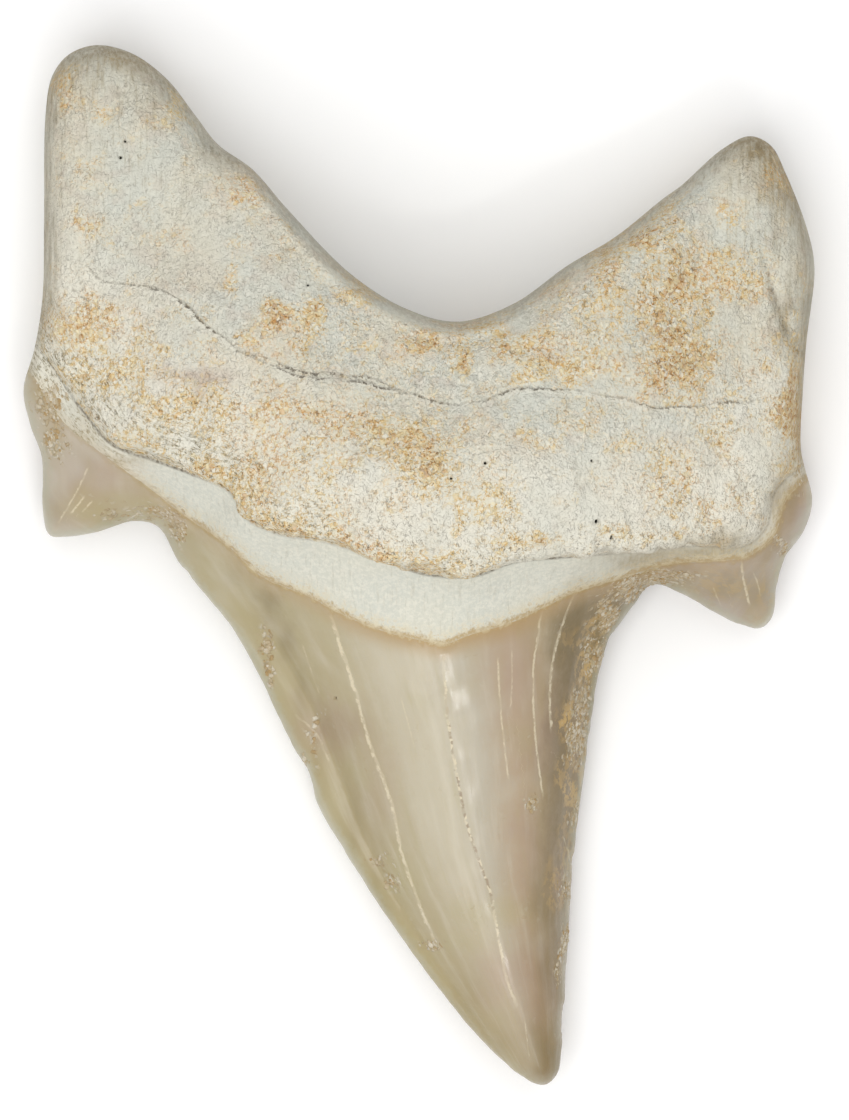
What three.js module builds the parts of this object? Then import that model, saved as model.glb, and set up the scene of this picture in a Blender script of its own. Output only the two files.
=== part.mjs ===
// Fossil tooth of a large mackerel shark: crown, side cusplets and root grown as one piece.
//
// Millimetres. +X runs across the tooth, +Y from the point of the crown to the root lobes, +Z out
// of the rounded inner (lingual) face. The tooth lies on its flatter outer (labial) face, which
// touches the surface in three small flats: one under each root lobe and one under the crown.
// The origin is on that surface, under the middle of the tooth's box.
//
// The tooth is two height sheets, inner face over outer face, joined by a thin rim along one
// closed outline. Each sheet is a function of the place (x, y) and of the depth in from the outline.

import * as THREE from "three";

// ---- Driving dimensions ----------------------------------------------------------------------

const CELL = 1.36; // side of the triangles that both sheets are made of
const RIM_RINGS = [0.3, 0.85]; // depths of the rings of points that hold the rounding of the edges
const RIM_THICKNESS = 0.36; // thickness of the worn cutting edges
const CREASE_REACH = 0.43 * CELL; // distance from which a point is drawn to a crease
const CURVE_STEP = 0.4; // spacing of the points that stand for a smooth curve

const EDGE_ROUNDING = 1.0; // depth over which a cutting edge springs from the rim
const BLADE_SHOULDER = 4.0; // depth over which a cutting edge thickens
const BLADE_RISE = 1.7; // height of the flat wings beside the crown's body above their edge
const WING_BLEND = 1.6; // softness of the furrow between the crown's body and its wings
const CUSPLET_SHOULDER = 4.4; // depth over which a cusplet thickens
const CUSPLET_RISE = 2.6; // height of a cusplet's middle above its edge
const CUSPLET_BLEND = 1.5; // softness of the crease between a cusplet and the neck
const NECK_SPREAD = 8.0; // distance below the ledge over which the neck sinks to the edges
const NECK_SHARE = 0.73; // height of the neck at the ledge, as a share of the root's own height
const ROOT_SHOULDER = 3.8; // depth over which the root's sides are rounded
const LEDGE_STEP = 1.2; // width of the step from the neck up to the root
const LEDGE_SHARE = 0.86; // height of the root at the top of that step, as a share of its own height
const BULGE_SPREAD = 6.0; // distance past the ledge over which the root swells to its full height
const LEDGE_BLEND = 0.5; // softness of the crease between the root and the neck
const LABIAL_SHOULDER = 3.4; // depth over which the outer face is rounded

// Round the tooth anticlockwise from the top of the left root lobe, seen from the inner face.
const OUTLINE = [
  // left root lobe, down its outer side
  [-20.2, 32.5], [-21.9, 31.9], [-22.9, 30.6], [-23.3, 28.4], [-23.4, 21.5], [-23.5, 16.8],
  // left cusplet: heel, point, notch
  [-24.0, 13.6], [-24.7, 11.0], [-24.3, 8.8], [-23.6, 6.8], [-23.5, 3.0], [-23.1, 1.9],
  [-22.2, 1.8], [-20.2, 2.1], [-17.8, 2.8], [-16.3, 2.4],
  // left cutting edge of the crown, with its worn step
  [-15.0, 0.2], [-13.3, -1.9], [-11.6, -4.0], [-9.7, -7.5], [-8.0, -11.1], [-6.9, -12.9],
  [-6.3, -15.0], [-4.7, -17.8], [-1.0, -23.4], [3.3, -29.0], [5.6, -31.3],
  // point and right cutting edge
  [7.0, -32.3], [7.9, -32.5], [8.6, -31.9], [8.9, -30.2], [9.3, -25.0], [9.9, -17.0],
  [10.7, -11.2], [11.2, -7.5], [12.0, -4.7], [13.2, -2.8],
  // right cusplet: notch, point, heel
  [14.7, -1.2], [16.4, -1.7], [19.6, -3.5], [21.4, -3.9], [22.1, -3.2], [22.4, -1.2],
  [23.0, 0.4], [24.2, 2.2], [24.7, 4.0], [24.0, 7.2],
  // right root lobe, up its outer side and over its end
  [24.1, 11.0], [24.7, 18.6], [24.2, 21.6], [22.9, 24.7], [22.0, 26.3], [20.7, 26.8],
  [19.0, 26.1], [15.8, 23.4], [12.3, 20.6],
  // arched base of the root, back to the left lobe
  [9.3, 18.8], [5.9, 16.3], [2.4, 15.3], [-0.8, 16.1], [-4.0, 18.2], [-8.1, 22.5],
  [-12.0, 26.2], [-13.9, 28.4], [-15.8, 30.6], [-18.0, 32.1],
];

// The root's lower margin, where it overhangs the neck, from past the left side to past the right.
const LEDGE = [
  [-27.0, 17.0], [-23.8, 13.6], [-22.0, 11.2], [-20.6, 9.3], [-19.1, 7.6], [-16.7, 6.7],
  [-14.2, 5.8], [-11.7, 4.6], [-10.7, 3.0], [-9.0, 2.1], [-5.7, 1.5], [-2.3, 0.4], [0.6, -0.5],
  [3.3, -0.6], [5.9, 0.3], [8.8, 0.6], [13.1, 0.9], [17.2, 1.3], [20.4, 1.3], [21.6, 2.4],
  [22.1, 4.5], [23.9, 6.1], [27.0, 7.6],
];

// Heights of the cutting and side edges above the surface, from the point to the lobes: [y, height].
const EDGE_HEIGHT = [
  [-32.5, 3.6], [-26, 2.8], [-16, 2.3], [-5, 2.5], [3, 3.0], [8, 3.8], [14, 5.4], [21, 6.0],
  [32.5, 5.2],
];

// The crown's thick body between its wings: [y, left side, right side, height of its ridge].
const CROWN_BODY = [
  [-32.5, 6.9, 8.5, 4.3], [-31.5, 5.9, 8.8, 5.0], [-28, 3.3, 9.2, 6.6], [-23.4, 0.2, 9.4, 7.9],
  [-17.8, -3.0, 9.7, 9.3], [-13, -5.0, 10.2, 10.4], [-9, -6.6, 10.5, 11.3], [-5, -8.8, 10.9, 12.3],
  [-2, -10.8, 11.8, 13.2], [1, -12.8, 13.2, 14.3], [5, -16.0, 16.0, 15.4],
];

// Spot heights, as on a map, over the root's inner face: [x, y, height].
const ROOT_SPOTS = [
  [0, 4, 19.0], [-6, 5, 18.5], [6, 4.5, 18.7], [-11, 7.5, 16.8], [11.5, 5, 17.2], [-15, 9, 14.8],
  [16, 5, 15.0], [-19, 10.5, 12.2], [20, 5.5, 12.2], [-22, 13, 9.8], [22.8, 7.5, 9.8],
  [0, 10, 17.7], [-7, 12, 17.0], [7, 11, 17.3], [14, 11, 15.8], [20, 11, 13.0], [23.5, 13, 9.8],
  [2, 14.5, 14.8], [-3, 15.5, 14.8], [8, 16, 14.8], [-13, 15, 15.4], [-18, 15, 13.6],
  [-22, 18, 10.2], [-9, 19, 14.4], [-18.5, 21, 12.8], [-13, 22, 13.0], [-19, 26, 11.6],
  [-22, 25, 9.8], [-16, 27, 11.2], [-19, 31, 9.6], [14, 17, 14.6], [19, 16, 13.0],
  [23.5, 18, 10.0], [17, 20.5, 12.8], [21, 21, 11.4], [20.5, 25, 10.0],
];
const ROOT_SPOT_REACH = 3.3;

// Spot heights of the outer face. Below zero the face is flat, where the tooth rests.
const LABIAL_SPOTS = [
  [-18, 20, -1.5], [19, 16, -1.6], [3.5, -13, -1.2], [8, -31, 2.6], [7, -26, 1.5], [5, -20, 0.5],
  [0, -6, 0.4], [0, -2, 0.8], [1, 4, 1.4], [1, 11, 1.7], [-10, 6, 1.2], [11, 5, 1.2],
  [-20, 31, 1.6], [-11, 19, 0.9], [13, 17, 0.9], [21.5, 25, 1.4], [-22, 8, 1.5], [22, 4, 1.5],
];
const LABIAL_SPOT_REACH = 5.2;

// ---- Curves and distances --------------------------------------------------------------------

function smoothCurve(points, closed) {
  const places = points.map(([x, y]) => new THREE.Vector3(x, y, 0));
  const curve = new THREE.CatmullRomCurve3(places, closed, "centripetal");
  curve.arcLengthDivisions = 2000;
  return curve;
}

const spacedAlong = (curve) => curve.getSpacedPoints(Math.round(curve.getLength() / CURVE_STEP));

const outlineCurve = smoothCurve(OUTLINE, true);
const outline = spacedAlong(outlineCurve);
const ledgeCurve = smoothCurve(LEDGE, false);
const ledge = spacedAlong(ledgeCurve);

// The place on a line of points nearest to (x, y): its distance, positive on the line's left, and
// how far along the line it lies, from 0 to 1.
function nearest(line, x, y) {
  const best = { distance: Infinity, along: 0 };
  for (let i = 1; i < line.length; i++) {
    const a = line[i - 1];
    const dx = line[i].x - a.x;
    const dy = line[i].y - a.y;
    const reach = ((x - a.x) * dx + (y - a.y) * dy) / (dx * dx + dy * dy);
    const t = THREE.MathUtils.clamp(reach, 0, 1);
    const distance = Math.hypot(x - a.x - t * dx, y - a.y - t * dy);
    if (distance < Math.abs(best.distance)) {
      const onLeft = dx * (y - a.y) - dy * (x - a.x) >= 0;
      best.distance = onLeft ? distance : -distance;
      best.along = (i - 1 + t) / (line.length - 1);
    }
  }
  return best;
}

// ---- Shape helpers ---------------------------------------------------------------------------

// A smooth function of y through rows of [y, value, value, ...].
function rowsAlongY(rows) {
  const size = rows[0].length - 1;
  const ys = rows.map((row) => row[0]);
  const values = rows.flatMap((row) => row.slice(1));
  const curve = new THREE.CubicInterpolant(ys, values, size, new Float64Array(size));
  return (y) => [...curve.evaluate(THREE.MathUtils.clamp(y, ys[0], ys[ys.length - 1]))];
}

function softMax(a, b, softness) {
  const share = THREE.MathUtils.clamp(0.5 + (0.5 * (a - b)) / softness, 0, 1);
  return THREE.MathUtils.lerp(b, a, share) + softness * share * (1 - share);
}

// Rises from 0 at the edge to 1 at the end of a shoulder. More fullness makes it rounder.
function shoulder(distance, width, fullness) {
  const t = THREE.MathUtils.clamp(distance / width, 0, 1);
  return (1 - (1 - t) ** fullness) ** (1 / fullness);
}

// Weighted mean of spot heights, near ones counting most.
function spotHeight(spots, reach, x, y) {
  let sum = 0;
  let weights = 0;
  for (const [sx, sy, height] of spots) {
    const weight = Math.exp(-((x - sx) ** 2 + (y - sy) ** 2) / (2 * reach * reach));
    sum += weight * height;
    weights += weight;
  }
  return sum / weights;
}

// ---- The two faces ---------------------------------------------------------------------------

const edgeHeight = rowsAlongY(EDGE_HEIGHT);
const crownBody = rowsAlongY(CROWN_BODY);

// Heights above the edge of the crown's body with its wings and of the cusplets.
function crownRise(x, y, edge, depth) {
  const [left, right, ridge] = crownBody(y);
  const across = Math.abs((2 * x - left - right) / (right - left));
  const body = (ridge - edge) * Math.max(0, 1 - across ** 2.2) ** 0.7;
  return softMax(body, BLADE_RISE * shoulder(depth, BLADE_SHOULDER, 1.3), WING_BLEND);
}

function cuspletRise(x, depth) {
  const besideCrown = THREE.MathUtils.smoothstep(Math.abs(x), 13, 18);
  return CUSPLET_RISE * besideCrown * shoulder(depth, CUSPLET_SHOULDER, 1.3);
}

// Heights above the edge of the neck below the ledge and of the root past it.
function neckRise(cap, depth, pastLedge) {
  const nearness = THREE.MathUtils.clamp(1 + pastLedge / NECK_SPREAD, 0, 1);
  return NECK_SHARE * cap * nearness ** 1.3 * shoulder(depth, CUSPLET_SHOULDER, 1.6);
}

function rootRise(cap, depth, pastLedge) {
  const swelling = THREE.MathUtils.lerp(LEDGE_SHARE, 1, shoulder(pastLedge, BULGE_SPREAD, 2));
  return cap * swelling * shoulder(pastLedge, LEDGE_STEP, 2) * shoulder(depth, ROOT_SHOULDER, 2.3);
}

function innerFace(x, y, depth) {
  const edge = edgeHeight(y)[0] + RIM_THICKNESS / 2;
  const cap = spotHeight(ROOT_SPOTS, ROOT_SPOT_REACH, x, y) - edge;
  const pastLedge = nearest(ledge, x, y).distance;
  const flanks = softMax(cuspletRise(x, depth), neckRise(cap, depth, pastLedge), CUSPLET_BLEND);
  const enamel = softMax(crownRise(x, y, edge, depth), flanks, WING_BLEND);
  const root = rootRise(cap, depth, pastLedge);
  const rise = pastLedge > 0 ? softMax(enamel, root, LEDGE_BLEND) : enamel;
  return edge + rise * shoulder(depth, EDGE_ROUNDING, 2);
}

function outerFace(x, y, depth) {
  const edge = edgeHeight(y)[0] - RIM_THICKNESS / 2;
  const face = spotHeight(LABIAL_SPOTS, LABIAL_SPOT_REACH, x, y);
  return Math.max(0, edge - (edge - face) * shoulder(depth, LABIAL_SHOULDER, 1.7));
}

// ---- Plan mesh: triangles over the outline ---------------------------------------------------

// Even triangles over the tooth's box, those whose middle is inside the outline.
function evenTriangles() {
  const box = new THREE.Box3().setFromPoints(outline).expandByScalar(2 * CELL);
  const rise = CELL * Math.sqrt(0.75);
  const columns = Math.ceil((box.max.x - box.min.x) / CELL);
  const rows = Math.ceil((box.max.y - box.min.y) / rise);
  const points = [];
  for (let j = 0; j <= rows; j++) {
    for (let i = 0; i <= columns; i++) {
      points.push({ x: box.min.x + (i + 0.5 * (j % 2)) * CELL, y: box.min.y + j * rise });
    }
  }
  const triangles = [];
  for (let j = 0; j < rows; j++) {
    for (let i = 0; i < columns; i++) {
      const a = j * (columns + 1) + i;
      const above = a + columns + 1;
      const pair = j % 2
        ? [[a, a + 1, above + 1], [a, above + 1, above]]
        : [[a, a + 1, above], [a + 1, above + 1, above]];
      triangles.push(...pair);
    }
  }
  const middleInside = (triangle) => {
    const middle = (axis) => triangle.reduce((sum, k) => sum + points[k][axis] / 3, 0);
    return nearest(outline, middle("x"), middle("y")).distance > 0;
  };
  return { points, triangles: triangles.filter(middleInside) };
}

const edgesOf = ([a, b, c]) => [[a, b], [b, c], [c, a]];

// Directed edges that only one triangle uses, as a map from each edge's start to its end.
function openEdges(triangles) {
  const used = new Set(triangles.flatMap(edgesOf).map(String));
  return new Map(triangles.flatMap(edgesOf).filter(([a, b]) => !used.has(`${b},${a}`)));
}

function dropEars(triangles) {
  const open = openEdges(triangles);
  const kept = triangles.filter((t) => edgesOf(t).filter(([a, b]) => open.get(a) === b).length < 2);
  return kept.length < triangles.length ? dropEars(kept) : kept;
}

function loopThrough(next) {
  const loop = [next.keys().next().value];
  while (next.get(loop.at(-1)) !== loop[0]) loop.push(next.get(loop.at(-1)));
  return loop;
}

// Places along the outline for a loop of points: the nearest places, then evened out.
function placesAlong(loop, points) {
  const along = loop.map((k) => nearest(outline, points[k].x, points[k].y).along);
  for (let i = 1; i < along.length; i++) along[i] += Math.round(along[i - 1] - along[i]);
  const turn = 1;
  for (let pass = 0; pass < 40; pass++) {
    const before = [...along];
    const last = before.length - 1;
    for (let i = 0; i <= last; i++) {
      const previous = i > 0 ? before[i - 1] : before[last] - turn;
      const following = i < last ? before[i + 1] : before[0] + turn;
      along[i] = 0.5 * before[i] + 0.25 * (previous + following);
    }
  }
  return along;
}

// The place at a share of a curve's length, moved to the curve's left by a distance.
function movedIn(curve, along, distance) {
  const share = THREE.MathUtils.euclideanModulo(along, 1);
  const place = curve.getPointAt(share);
  const tangent = curve.getTangentAt(share);
  return { x: place.x - distance * tangent.y, y: place.y + distance * tangent.x };
}

// Draws the points that aren't held towards the mean of their neighbours.
function relax(points, triangles, held) {
  const neighbours = new Map();
  for (const [a, b] of triangles.flatMap(edgesOf)) {
    neighbours.set(a, (neighbours.get(a) ?? new Set()).add(b));
    neighbours.set(b, (neighbours.get(b) ?? new Set()).add(a));
  }
  for (let pass = 0; pass < 12; pass++) {
    for (const [k, around] of neighbours) {
      if (held.has(k)) continue;
      const mean = (axis) => [...around].reduce((sum, n) => sum + points[n][axis], 0) / around.size;
      [points[k].x, points[k].y] = [mean("x"), mean("y")];
    }
  }
}

// Moves the points next to the ledge onto its line, or onto the line along the top of its step, so
// that edges of triangles follow both.
function drawToLedge(points, held) {
  for (const offset of [0, LEDGE_STEP]) {
    points.forEach((point, k) => {
      const place = nearest(ledge, point.x, point.y);
      if (held.has(k) || Math.abs(place.distance - offset) > CREASE_REACH) return;
      Object.assign(point, movedIn(ledgeCurve, place.along, offset));
      held.add(k);
    });
  }
}

// The plan: the even triangles fitted inside the innermost rim ring, and rings out to the outline.
function planMesh() {
  const { points, triangles: even } = evenTriangles();
  const triangles = dropEars(even);
  const loop = loopThrough(openEdges(triangles));
  const along = placesAlong(loop, points);
  const placeAt = (i, depth) => movedIn(outlineCurve, along[i], depth);
  loop.forEach((k, i) => Object.assign(points[k], placeAt(i, RIM_RINGS.at(-1))));
  const held = new Set(loop);
  relax(points, triangles, held);
  drawToLedge(points, held);
  relax(points, triangles, held);
  let inner = loop;
  for (const depth of [...RIM_RINGS.slice(0, -1), 0]) {
    const outer = loop.map((_, i) => points.push(placeAt(i, depth)) - 1);
    outer.forEach((a, i) => {
      const next = (i + 1) % loop.length;
      triangles.push([a, outer[next], inner[next]], [a, inner[next], inner[i]]);
    });
    inner = outer;
  }
  return { points, triangles, rim: inner };
}

// ---- The closed tooth ------------------------------------------------------------------------

function toothGeometry() {
  const { points, triangles, rim } = planMesh();
  const onRim = new Set(rim);
  const positions = [];
  const upper = new Map();
  const lower = new Map();
  for (const k of new Set(triangles.flat())) {
    const { x, y } = points[k];
    const depth = onRim.has(k) ? 0 : nearest(outline, x, y).distance;
    upper.set(k, positions.push(x, y, innerFace(x, y, depth)) / 3 - 1);
    lower.set(k, positions.push(x, y, outerFace(x, y, depth)) / 3 - 1);
  }
  const faces = [];
  for (const [a, b, c] of triangles) {
    faces.push(upper.get(a), upper.get(b), upper.get(c));
    faces.push(lower.get(a), lower.get(c), lower.get(b));
  }
  rim.forEach((a, i) => {
    const b = rim[(i + 1) % rim.length];
    faces.push(lower.get(a), lower.get(b), upper.get(b));
    faces.push(lower.get(a), upper.get(b), upper.get(a));
  });
  const geometry = new THREE.BufferGeometry();
  geometry.setAttribute("position", new THREE.Float32BufferAttribute(positions, 3));
  geometry.setIndex(faces);
  geometry.computeVertexNormals();
  return geometry;
}

const mineralised = new THREE.MeshStandardMaterial({
  name: "fossil_tooth",
  color: new THREE.Color().setRGB(0.84, 0.81, 0.72, THREE.SRGBColorSpace),
  roughness: 0.6,
  metalness: 0,
});

const tooth = new THREE.Mesh(toothGeometry(), mineralised);
tooth.name = "tooth";

const specimen = new THREE.Group();
specimen.name = "fossil_shark_tooth";
specimen.add(tooth);

export default specimen;
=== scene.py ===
"""Fossil shark tooth: glossy crown and side cusplets on a chalky, iron-stained root.

Laid out as an add-on. Each piece and the stage is an operator, and the sizes and colours that a
user would change are properties of the scene. Shapes are drawn in millimetres, +X across the
tooth, +Y from the point of the crown to the root lobes and +Z out of the rounded inner face, and
to_frame() sets them on the CAD tooth's box.
"""

import bpy
import numpy as np
from bpy.props import FloatProperty, FloatVectorProperty, IntProperty, PointerProperty
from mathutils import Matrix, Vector, noise
from mathutils.geometry import delaunay_2d_cdt


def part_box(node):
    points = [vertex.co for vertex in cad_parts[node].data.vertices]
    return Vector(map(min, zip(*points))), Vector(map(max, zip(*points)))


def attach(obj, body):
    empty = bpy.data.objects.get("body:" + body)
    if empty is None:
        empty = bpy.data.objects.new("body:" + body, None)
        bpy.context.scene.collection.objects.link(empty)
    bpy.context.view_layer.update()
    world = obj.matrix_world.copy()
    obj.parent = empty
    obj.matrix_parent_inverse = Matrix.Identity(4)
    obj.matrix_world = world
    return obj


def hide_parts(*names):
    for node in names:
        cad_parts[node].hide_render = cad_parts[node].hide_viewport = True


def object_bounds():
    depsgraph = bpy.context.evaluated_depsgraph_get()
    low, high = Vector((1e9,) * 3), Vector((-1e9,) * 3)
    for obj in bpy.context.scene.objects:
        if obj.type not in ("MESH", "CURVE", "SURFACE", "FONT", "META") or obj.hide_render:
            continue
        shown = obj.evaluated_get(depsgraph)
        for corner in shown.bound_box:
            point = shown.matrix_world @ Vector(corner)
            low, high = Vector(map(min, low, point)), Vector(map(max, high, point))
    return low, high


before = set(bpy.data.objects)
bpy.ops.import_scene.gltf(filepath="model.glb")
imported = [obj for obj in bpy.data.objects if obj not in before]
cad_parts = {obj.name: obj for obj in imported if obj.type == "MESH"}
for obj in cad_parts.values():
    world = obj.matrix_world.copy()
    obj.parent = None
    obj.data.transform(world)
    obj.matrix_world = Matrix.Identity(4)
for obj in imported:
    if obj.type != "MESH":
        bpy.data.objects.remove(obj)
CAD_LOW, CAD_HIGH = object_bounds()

bl_info = {
    "name": "Fossil shark tooth",
    "version": (1, 0, 0),
    "blender": (4, 5, 0),
    "location": "3D View > Sidebar > Fossil tooth",
    "description": "Builds a worn fossil shark tooth, the grains that cling to it and its stage",
    "category": "Object",
}

MM = 0.001
TOOTH_LOW, TOOTH_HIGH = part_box("tooth")

# ---- Drawn shape: lines ----------------------------------------------------------------------

# Round the tooth anticlockwise from the top of the left root lobe, seen from the inner face.
OUTLINE = [
    (-20.2, 32.5), (-21.9, 31.9), (-22.9, 30.6), (-23.3, 28.4), (-23.4, 21.5), (-23.5, 16.8),
    (-24.0, 13.6), (-24.7, 11.0), (-24.3, 8.8), (-23.6, 6.8), (-23.5, 3.0), (-23.1, 1.9),
    (-22.2, 1.8), (-20.2, 2.1), (-17.8, 2.8), (-16.3, 2.4), (-15.0, 0.2), (-13.3, -1.9),
    (-11.6, -4.0), (-9.7, -7.5), (-8.0, -11.1), (-6.9, -12.9), (-6.3, -15.0), (-4.7, -17.8),
    (-1.0, -23.4), (3.3, -29.0), (5.6, -31.3), (7.0, -32.3), (7.9, -32.5), (8.6, -31.9),
    (8.9, -30.2), (9.2, -25.0), (9.8, -17.0), (10.6, -11.2), (11.1, -7.5), (11.9, -4.7),
    (13.2, -2.8), (14.7, -1.2), (16.4, -1.7), (19.6, -3.5), (21.4, -3.9), (22.1, -3.2),
    (22.4, -1.2), (22.9, 0.4), (24.1, 2.2), (24.6, 4.0), (23.9, 7.2), (24.0, 11.0), (24.2, 13.9),
    (24.7, 18.6), (24.3, 20.8), (22.9, 24.5), (22.0, 26.2), (20.7, 26.8), (19.0, 26.0),
    (16.4, 23.7), (15.3, 22.9), (12.3, 20.5), (9.3, 18.7), (5.9, 16.3), (2.4, 15.2), (-0.8, 16.0),
    (-4.3, 18.2), (-8.3, 22.3), (-10.4, 24.7), (-12.6, 26.3), (-14.0, 28.1), (-15.8, 30.4),
    (-18.0, 32.0),
]

# The root's lower margin, where it overhangs the neck.
LEDGE = [
    (-27.0, 17.0), (-23.8, 13.6), (-22.0, 11.2), (-20.6, 9.3), (-19.1, 7.6), (-16.7, 6.7),
    (-14.2, 5.8), (-11.7, 4.6), (-10.7, 3.0), (-9.0, 2.1), (-5.7, 1.5), (-2.3, 0.4),
    (0.6, -0.5), (3.3, -0.6), (5.9, 0.3), (8.8, 0.6), (13.1, 0.9), (17.2, 1.3), (20.4, 1.3),
    (21.6, 2.4), (22.1, 4.5), (23.9, 6.1), (27.0, 7.6),
]

# The crumbly upper border of the enamel, on the inner face and on the outer face.
INNER_BORDER = [
    (-27.0, 15.4), (-24.4, 12.2), (-22.9, 10.0), (-21.8, 8.6), (-19.4, 6.8), (-16.7, 4.8),
    (-15.3, 3.6), (-11.7, 1.1), (-10.0, -0.5), (-6.9, -1.9), (-4.2, -3.3), (-2.1, -4.1),
    (0.0, -4.6), (1.5, -4.9), (3.2, -4.3), (5.9, -3.5), (8.1, -2.4), (9.8, -1.6), (12.7, -0.8),
    (15.9, 0.1), (18.2, 0.3), (20.6, 0.6), (22.2, 1.9), (22.9, 4.0), (24.3, 5.4), (27.0, 6.8),
]
OUTER_BORDER = [
    (-27.0, 14.0), (-23.0, 11.0), (-17.0, 7.4), (-10.0, 5.2), (-3.0, 3.4), (2.0, 3.0),
    (8.0, 3.6), (14.0, 4.6), (19.0, 5.0), (23.0, 6.4), (27.0, 8.0),
]

# Cracks along the root: a long one across both lobes and a short one beside it.
ROOT_CRACKS = [
    [(-21.1, 19.3), (-19.8, 17.8), (-18.4, 17.5), (-16.0, 17.1), (-14.9, 16.5), (-13.9, 15.7),
     (-12.6, 14.5), (-10.8, 13.2), (-9.1, 12.6), (-7.4, 11.9), (-4.0, 11.6), (-2.2, 11.2),
     (-0.6, 10.7), (2.2, 10.1), (4.1, 10.2), (5.6, 10.8), (7.7, 11.0), (10.2, 10.8),
     (12.8, 10.3), (14.5, 9.8), (16.3, 9.8), (18.8, 10.1), (22.3, 10.4)],
    [(-21.6, 17.3), (-21.0, 16.8), (-20.5, 16.4)],
]

# A slanting groove down the outer side of the right lobe.
SIDE_FOLD = [(20.9, 21.5), (21.6, 18.5), (22.3, 16.6), (23.0, 14.7), (24.4, 12.4)]

# Hairlines down the crown, and painted highlights on the cusplets: short pale streaks that stand
# for glints. Each row: half width, strength, share of dark dashes, then places. Neighbours run
# opposite ways, so that signed distances agree where one line's side meets the next one's.
INNER_HAIRLINES_AND_GLINTS = [
    (0.11, 0.95, 0.0, [(-5.7, -2.4), (-4.9, -5.0), (-4.1, -7.3), (-3.1, -10.9), (-1.7, -14.9),
                       (-1.1, -17.8), (0.1, -21.4), (1.3, -24.2)]),
    (0.10, 0.85, 0.9, [(6.2, -28.0), (5.5, -25.8), (5.0, -23.4), (4.5, -20.6), (3.7, -18.3),
                       (3.0, -16.2), (2.6, -14.3), (2.0, -10.9), (1.7, -8.4), (1.5, -4.9)]),
    (0.06, 0.75, 0.2, [(4.9, -5.6), (4.95, -7.9), (5.2, -10.8), (5.6, -13.6)]),
    (0.05, 0.5, 0.0, [(5.6, -9.0), (5.75, -7.0), (5.75, -5.2)]),
    (0.07, 0.85, 0.0, [(7.7, -2.2), (7.4, -4.5), (7.1, -6.7), (7.2, -10.8), (7.8, -14.8)]),
    (0.08, 0.9, 0.0, [(8.2, -10.6), (8.1, -7.9), (8.5, -5.2), (9.6, -2.0), (10.2, -0.9)]),
    (0.05, 0.45, 0.3, [(-6.2, -8.1), (-7.3, -4.9)]),
    (0.05, 0.3, 0.0, [(-0.2, -11.4), (-1.1, -8.1)]),
    (0.07, 0.4, 0.2, [(-5.6, -12.4), (-6.4, -10.6), (-7.8, -9.3)]),
    (0.05, 0.4, 0.3, [(9.8, -19.2), (9.0, -16.9)]),
    (0.04, 0.35, 0.0, [(6.9, -30.8), (6.6, -28.4)]),
    # Painted highlights from here on: glints on the left cusplet, then on the right one.
    (0.06, 0.65, 0.0, [(-20.6, 6.2), (-21.4, 4.6), (-22.6, 2.6)]),
    (0.07, 0.75, 0.0, [(-21.8, 3.2), (-20.9, 4.3)]),
    (0.06, 0.65, 0.0, [(-20.4, 4.0), (-21.1, 3.3)]),
    (0.08, 0.75, 0.0, [(20.1, 0.4), (20.3, -0.9), (20.5, -1.7), (20.7, -2.6)]),
    (0.05, 0.45, 0.0, [(21.4, -2.0), (21.2, -1.2), (20.9, -0.4)]),
    (0.05, 0.4, 0.0, [(18.4, -1.4), (18.9, -2.6)]),
]
OUTER_HAIRLINES = [
    (0.08, 0.7, 0.5, [(-3.0, -1.0), (-1.5, -9.0), (1.5, -18.0), (4.5, -25.0)]),
    (0.07, 0.6, 0.0, [(5.0, -22.0), (3.5, -12.0), (2.8, -3.0)]),
    (0.06, 0.6, 0.2, [(7.6, -1.5), (7.4, -9.0), (7.9, -17.0)]),
]

# ---- Drawn shape: heights --------------------------------------------------------------------

# A shoulder is the depth from the outline over which a part rises to its full height. A rise is
# that height above the edge, and a blend is the softness of the furrow beside the next part.
BLADE_SHOULDER, BLADE_RISE = 4.0, 1.7  # the wings beside the crown's body
WING_BLEND = 2.2
CUSPLET_SHOULDER, CUSPLET_RISE, CUSPLET_BLEND = 4.4, 2.6, 1.5
ROOT_SHOULDER, LEDGE_BLEND = 3.1, 0.5
LABIAL_SHOULDER = 3.4  # the outer face's
NECK_SPREAD, NECK_SHARE = 8.0, 0.73  # reach below the ledge, and share of the root's height
LEDGE_SHARE, BULGE_SPREAD = 0.86, 6.0  # the root's share at the ledge, and reach of its bulge
BODY_PROFILE = (2.2, 0.7)  # powers that round the crown's body from side to side

RIM_THICKNESS = 0.36  # thickness of the worn cutting edges
RIM_BULGE = 0.03  # how far the middle of the rim stands out
EDGE_ROUNDING = 1.0  # depth over which the inner face springs from the rim
CRACK_DEPTH, CRACK_DIP = 0.09, 0.07  # a root crack itself and the soft dip round it
FOLD_DEPTH = 0.3  # the groove down the right lobe
PINHOLE_DEPTH = 0.32

# A low swell of the crown that catches the smallest light: x, y, reach along each, height.
GLEAM_SWELL = (2.5, -8.7, 4.0, 3.0, 0.22)

# Heights of the cutting and side edges above the surface: y, height.
EDGE_HEIGHT = [
    (-32.5, 3.6), (-26, 2.8), (-16, 2.3), (-5, 2.5), (3, 3.0), (8, 3.8), (14, 5.4), (21, 6.0),
    (32.5, 5.2),
]

# The crown's thick body between its wings: y, left side, right side, height of its ridge.
CROWN_BODY = [
    (-32.5, 6.9, 8.5, 4.3), (-31.5, 5.9, 8.8, 5.0), (-28, 3.3, 9.2, 6.6), (-23.4, 0.2, 9.4, 7.9),
    (-17.8, -3.0, 9.7, 9.3), (-13, -5.0, 10.2, 10.4), (-9, -6.6, 10.5, 11.3),
    (-5, -8.8, 10.9, 12.3), (-2, -10.8, 11.8, 13.2), (1, -12.8, 13.2, 14.3),
    (5, -16.0, 16.0, 15.4),
]

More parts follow.
